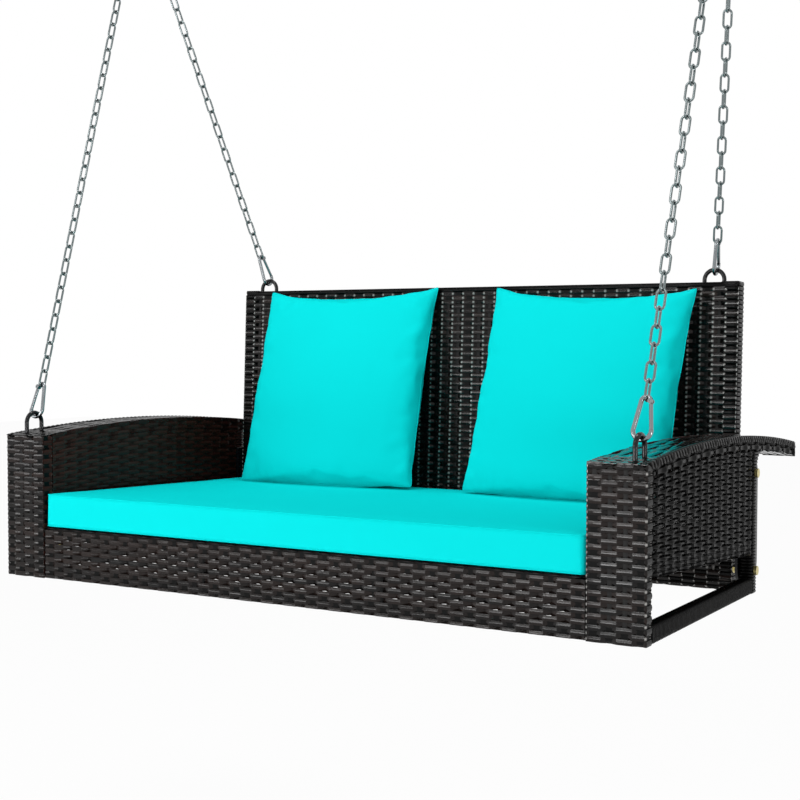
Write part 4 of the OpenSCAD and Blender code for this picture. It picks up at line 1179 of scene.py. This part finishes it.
def pad_panels(bm, wide, deep, across, back):
    """The lower and the upper panel, each a grid of points."""
    panels = []
    for z in (0.0, PAD_EDGE):
        panels.append({
            (i, j): bm.verts.new((*pad_plan(i / across, j / back, wide, deep), z))
            for i in range(across + 1) for j in range(back + 1)
        })
    for i in range(across):
        for j in range(back):
            for panel, order in zip(panels, (-1, 1)):
                grid_face(bm, panel, i, j, order)
    return panels


def pad_form():
    """The cut form of the seat cushion, and the points of its lower and upper seams."""
    wide, deep = PAD_HIGH.x - PAD_LOW.x - PAD_SLACK, PAD_HIGH.y - PAD_LOW.y - PAD_SLACK
    across, back = round(wide / PAD_CELL), round(deep / PAD_CELL)
    bm = bmesh.new()
    lower, upper = pad_panels(bm, wide, deep, across, back)
    rim = grid_rim(across, back)
    rows = [[lower[key] for key in rim]]
    for row in range(1, PAD_BAND):
        z = PAD_EDGE * row / PAD_BAND
        rows.append([bm.verts.new((v.co.x, v.co.y, z)) for v in rows[0]])
    rows.append([upper[key] for key in rim])
    for one, two in zip(rows, rows[1:]):
        for k in range(len(rim)):
            bm.faces.new((one[k - 1], one[k], two[k], two[k - 1]))
    bm.verts.index_update()
    seams = [[v.index for v in rows[0]], [v.index for v in rows[-1]]]
    return to_mesh(bm, "pad"), seams


def make_seat_cushion():
    """Makes the cushion, and returns its surface in the deck's frame, for the pillows."""
    mesh, seams = pad_form()
    swell(mesh, pressure=4.0, frames=14, cap=0.004, spare=0.012)
    for v in mesh.vertices:
        v.co.z = max(v.co.z, 0.0)
    fit(mesh, PAD_LOW, PAD_HIGH)
    points = [v.co for v in mesh.vertices]
    surface = BVHTree.FromPolygons(points, [p.vertices for p in mesh.polygons])
    for v in mesh.vertices:
        v.co = on_seat(*v.co)
    finish_cushion(
        "seat_cover", mesh, seams, PAD_SEAM, "cushion", "seat_cushion")
    return surface


PAD_SURFACE = make_seat_cushion()

# %% [markdown]
# ### The pillows
# Two square panels sewn edge to edge, drawn in between the corners and gathered along the
# seam. Both are the same form, filled once, then stretched and turned on their own.

# %% Pillow form
PILLOW_CELLS = 60
PILLOW_CUT = 0.435
PILLOW_THICK = 0.128
PILLOW_PLUMP = 0.45  # its half thickness as cut, as a share of the whole
PILLOW_ROUND = 0.6  # below one, its bulge is flatter in the middle and steeper at the seam
SIDE_DRAW = -0.010  # how far the sides are drawn in at their middles, as a share,
TOP_DRAW = 0.025  # and the top and the foot


def pillow_point(face, u, v):
    """A point of a panel, from its places between -1 and 1 across and up."""
    full = ((1 - u * u) * (1 - v * v)) ** PILLOW_ROUND
    x = PILLOW_CUT / 2 * u * (1 - SIDE_DRAW * (1 - v * v) * abs(u))
    z = PILLOW_CUT / 2 * v * (1 - TOP_DRAW * (1 - u * u) * abs(v))
    return x, -face * PILLOW_PLUMP * PILLOW_THICK * full, z


def pillow_form():
    """The cut form of a pillow, and the points of its seam."""
    bm = bmesh.new()
    last = PILLOW_CELLS
    rim = grid_rim(last, last)
    front = {}
    for face in (1, -1):
        sheet = {key: front[key] for key in rim} if front else {}
        for i in range(last + 1):
            for j in range(last + 1):
                if (i, j) not in sheet:
                    sheet[i, j] = bm.verts.new(pillow_point(face, 2 * i / last - 1, 2 * j / last - 1))
        front = front or sheet
        for i in range(last):
            for j in range(last):
                grid_face(bm, sheet, i, j, face)
    bm.verts.index_update()
    seam = [front[key].index for key in rim]
    return to_mesh(bm, "pillow"), seam


print("a pillow has", PILLOW_CELLS, "cells to a side")

# %% [markdown]
# ### Two pillows of one form
# Each leans on the back and stands on the seat cushion, and is pressed flat where it touches
# them. A ray cast down on the cushion's surface finds that place.

# %% Pillows
Pillow = namedtuple("Pillow", "wide high across up roll turn lean")  # angles in degrees
PILLOWS = {
    "left": Pillow(0.402, 0.422, -0.2590, 0.3640, -1.8, 3.0, 16.0),
    "right": Pillow(0.424, 0.415, 0.2767, 0.3590, 2.2, -3.0, 14.0),
}
PILLOW_OUT = 0.0776  # the middle of a pillow from the back's front
PILLOW_SAG = 0.034  # how far the filling sinks at the middle of the lower edge
PILLOW_SEAM = 0.0008
PRESS_GAP = 0.0010
PUCKER = 0.0050  # height of the gathers at the seam
PUCKER_REACH = 0.055  # and how far in they run
PUCKER_SCALE = (42.0, 9.0, 3.0)  # noise along the seam, away from it, and from seam to seam


def pucker(mesh, wide, high):
    """Gathers the cloth at an upright pillow's seam: small folds run in from it and fade."""
    for v in mesh.vertices:
        u, w = 2 * v.co.x / wide, 2 * v.co.z / high
        for near, along, size in ((u, v.co.z, wide), (w, v.co.x, high)):
            inset = (1 - abs(near)) * size / 2
            if 0.0 < inset < PUCKER_REACH:
                spot = (c * scale for c, scale in zip((along, inset, near), PUCKER_SCALE))
                fold = space_noise.noise(Vector(spot))
                v.co.y += PUCKER * fold * math.sin(math.pi * inset / PUCKER_REACH)


def pressed(x, out, up):
    """Moves a point of a pillow, given in the back's frame, off the back and the seat cushion."""
    point = on_back(x, max(out, PRESS_GAP), up)
    flat = Matrix.Rotation(SEAT_TILT, 3, "X") @ (point - SHIFT - Vector((0, 0, DECK_Z)))
    hit = PAD_SURFACE.ray_cast(Vector((flat.x, flat.y, 1.0)), Vector((0, 0, -1)))[0]
    if hit:
        flat.z = max(flat.z, hit.z + PRESS_GAP)
    return on_seat(*flat)


def place_pillow(side, form, seam):
    """Stretches, gathers, turns and presses a copy of the form into one pillow."""
    pillow = PILLOWS[side]
    half = Vector((pillow.wide, PILLOW_THICK, pillow.high)) / 2
    mesh = form.copy()
    fit(mesh, -half, half)
    pucker(mesh, pillow.wide, pillow.high)
    lean = Matrix.Rotation(math.radians(-pillow.lean), 3, "X")
    turn = Matrix.Rotation(math.radians(pillow.turn), 3, "Z")
    tip = lean @ turn @ Matrix.Rotation(math.radians(pillow.roll), 3, "Y")
    for v in mesh.vertices:
        u, low = 2 * v.co.x / pillow.wide, max(0.0, -2 * v.co.z / pillow.high)
        v.co.z -= PILLOW_SAG * (1 - u * u) * low ** 2
        x, y, z = tip @ v.co
        v.co = pressed(pillow.across + x, PILLOW_OUT - y, pillow.up + z)
    finish_cushion(
        side + "_cover", mesh, [seam], PILLOW_SEAM,
        "pillow_" + side, side + "_pillow")


form, seam = pillow_form()
swell(form, pressure=2.0, frames=18, cap=0.014, spare=0.03)
for side in PILLOWS:
    place_pillow(side, form, seam)
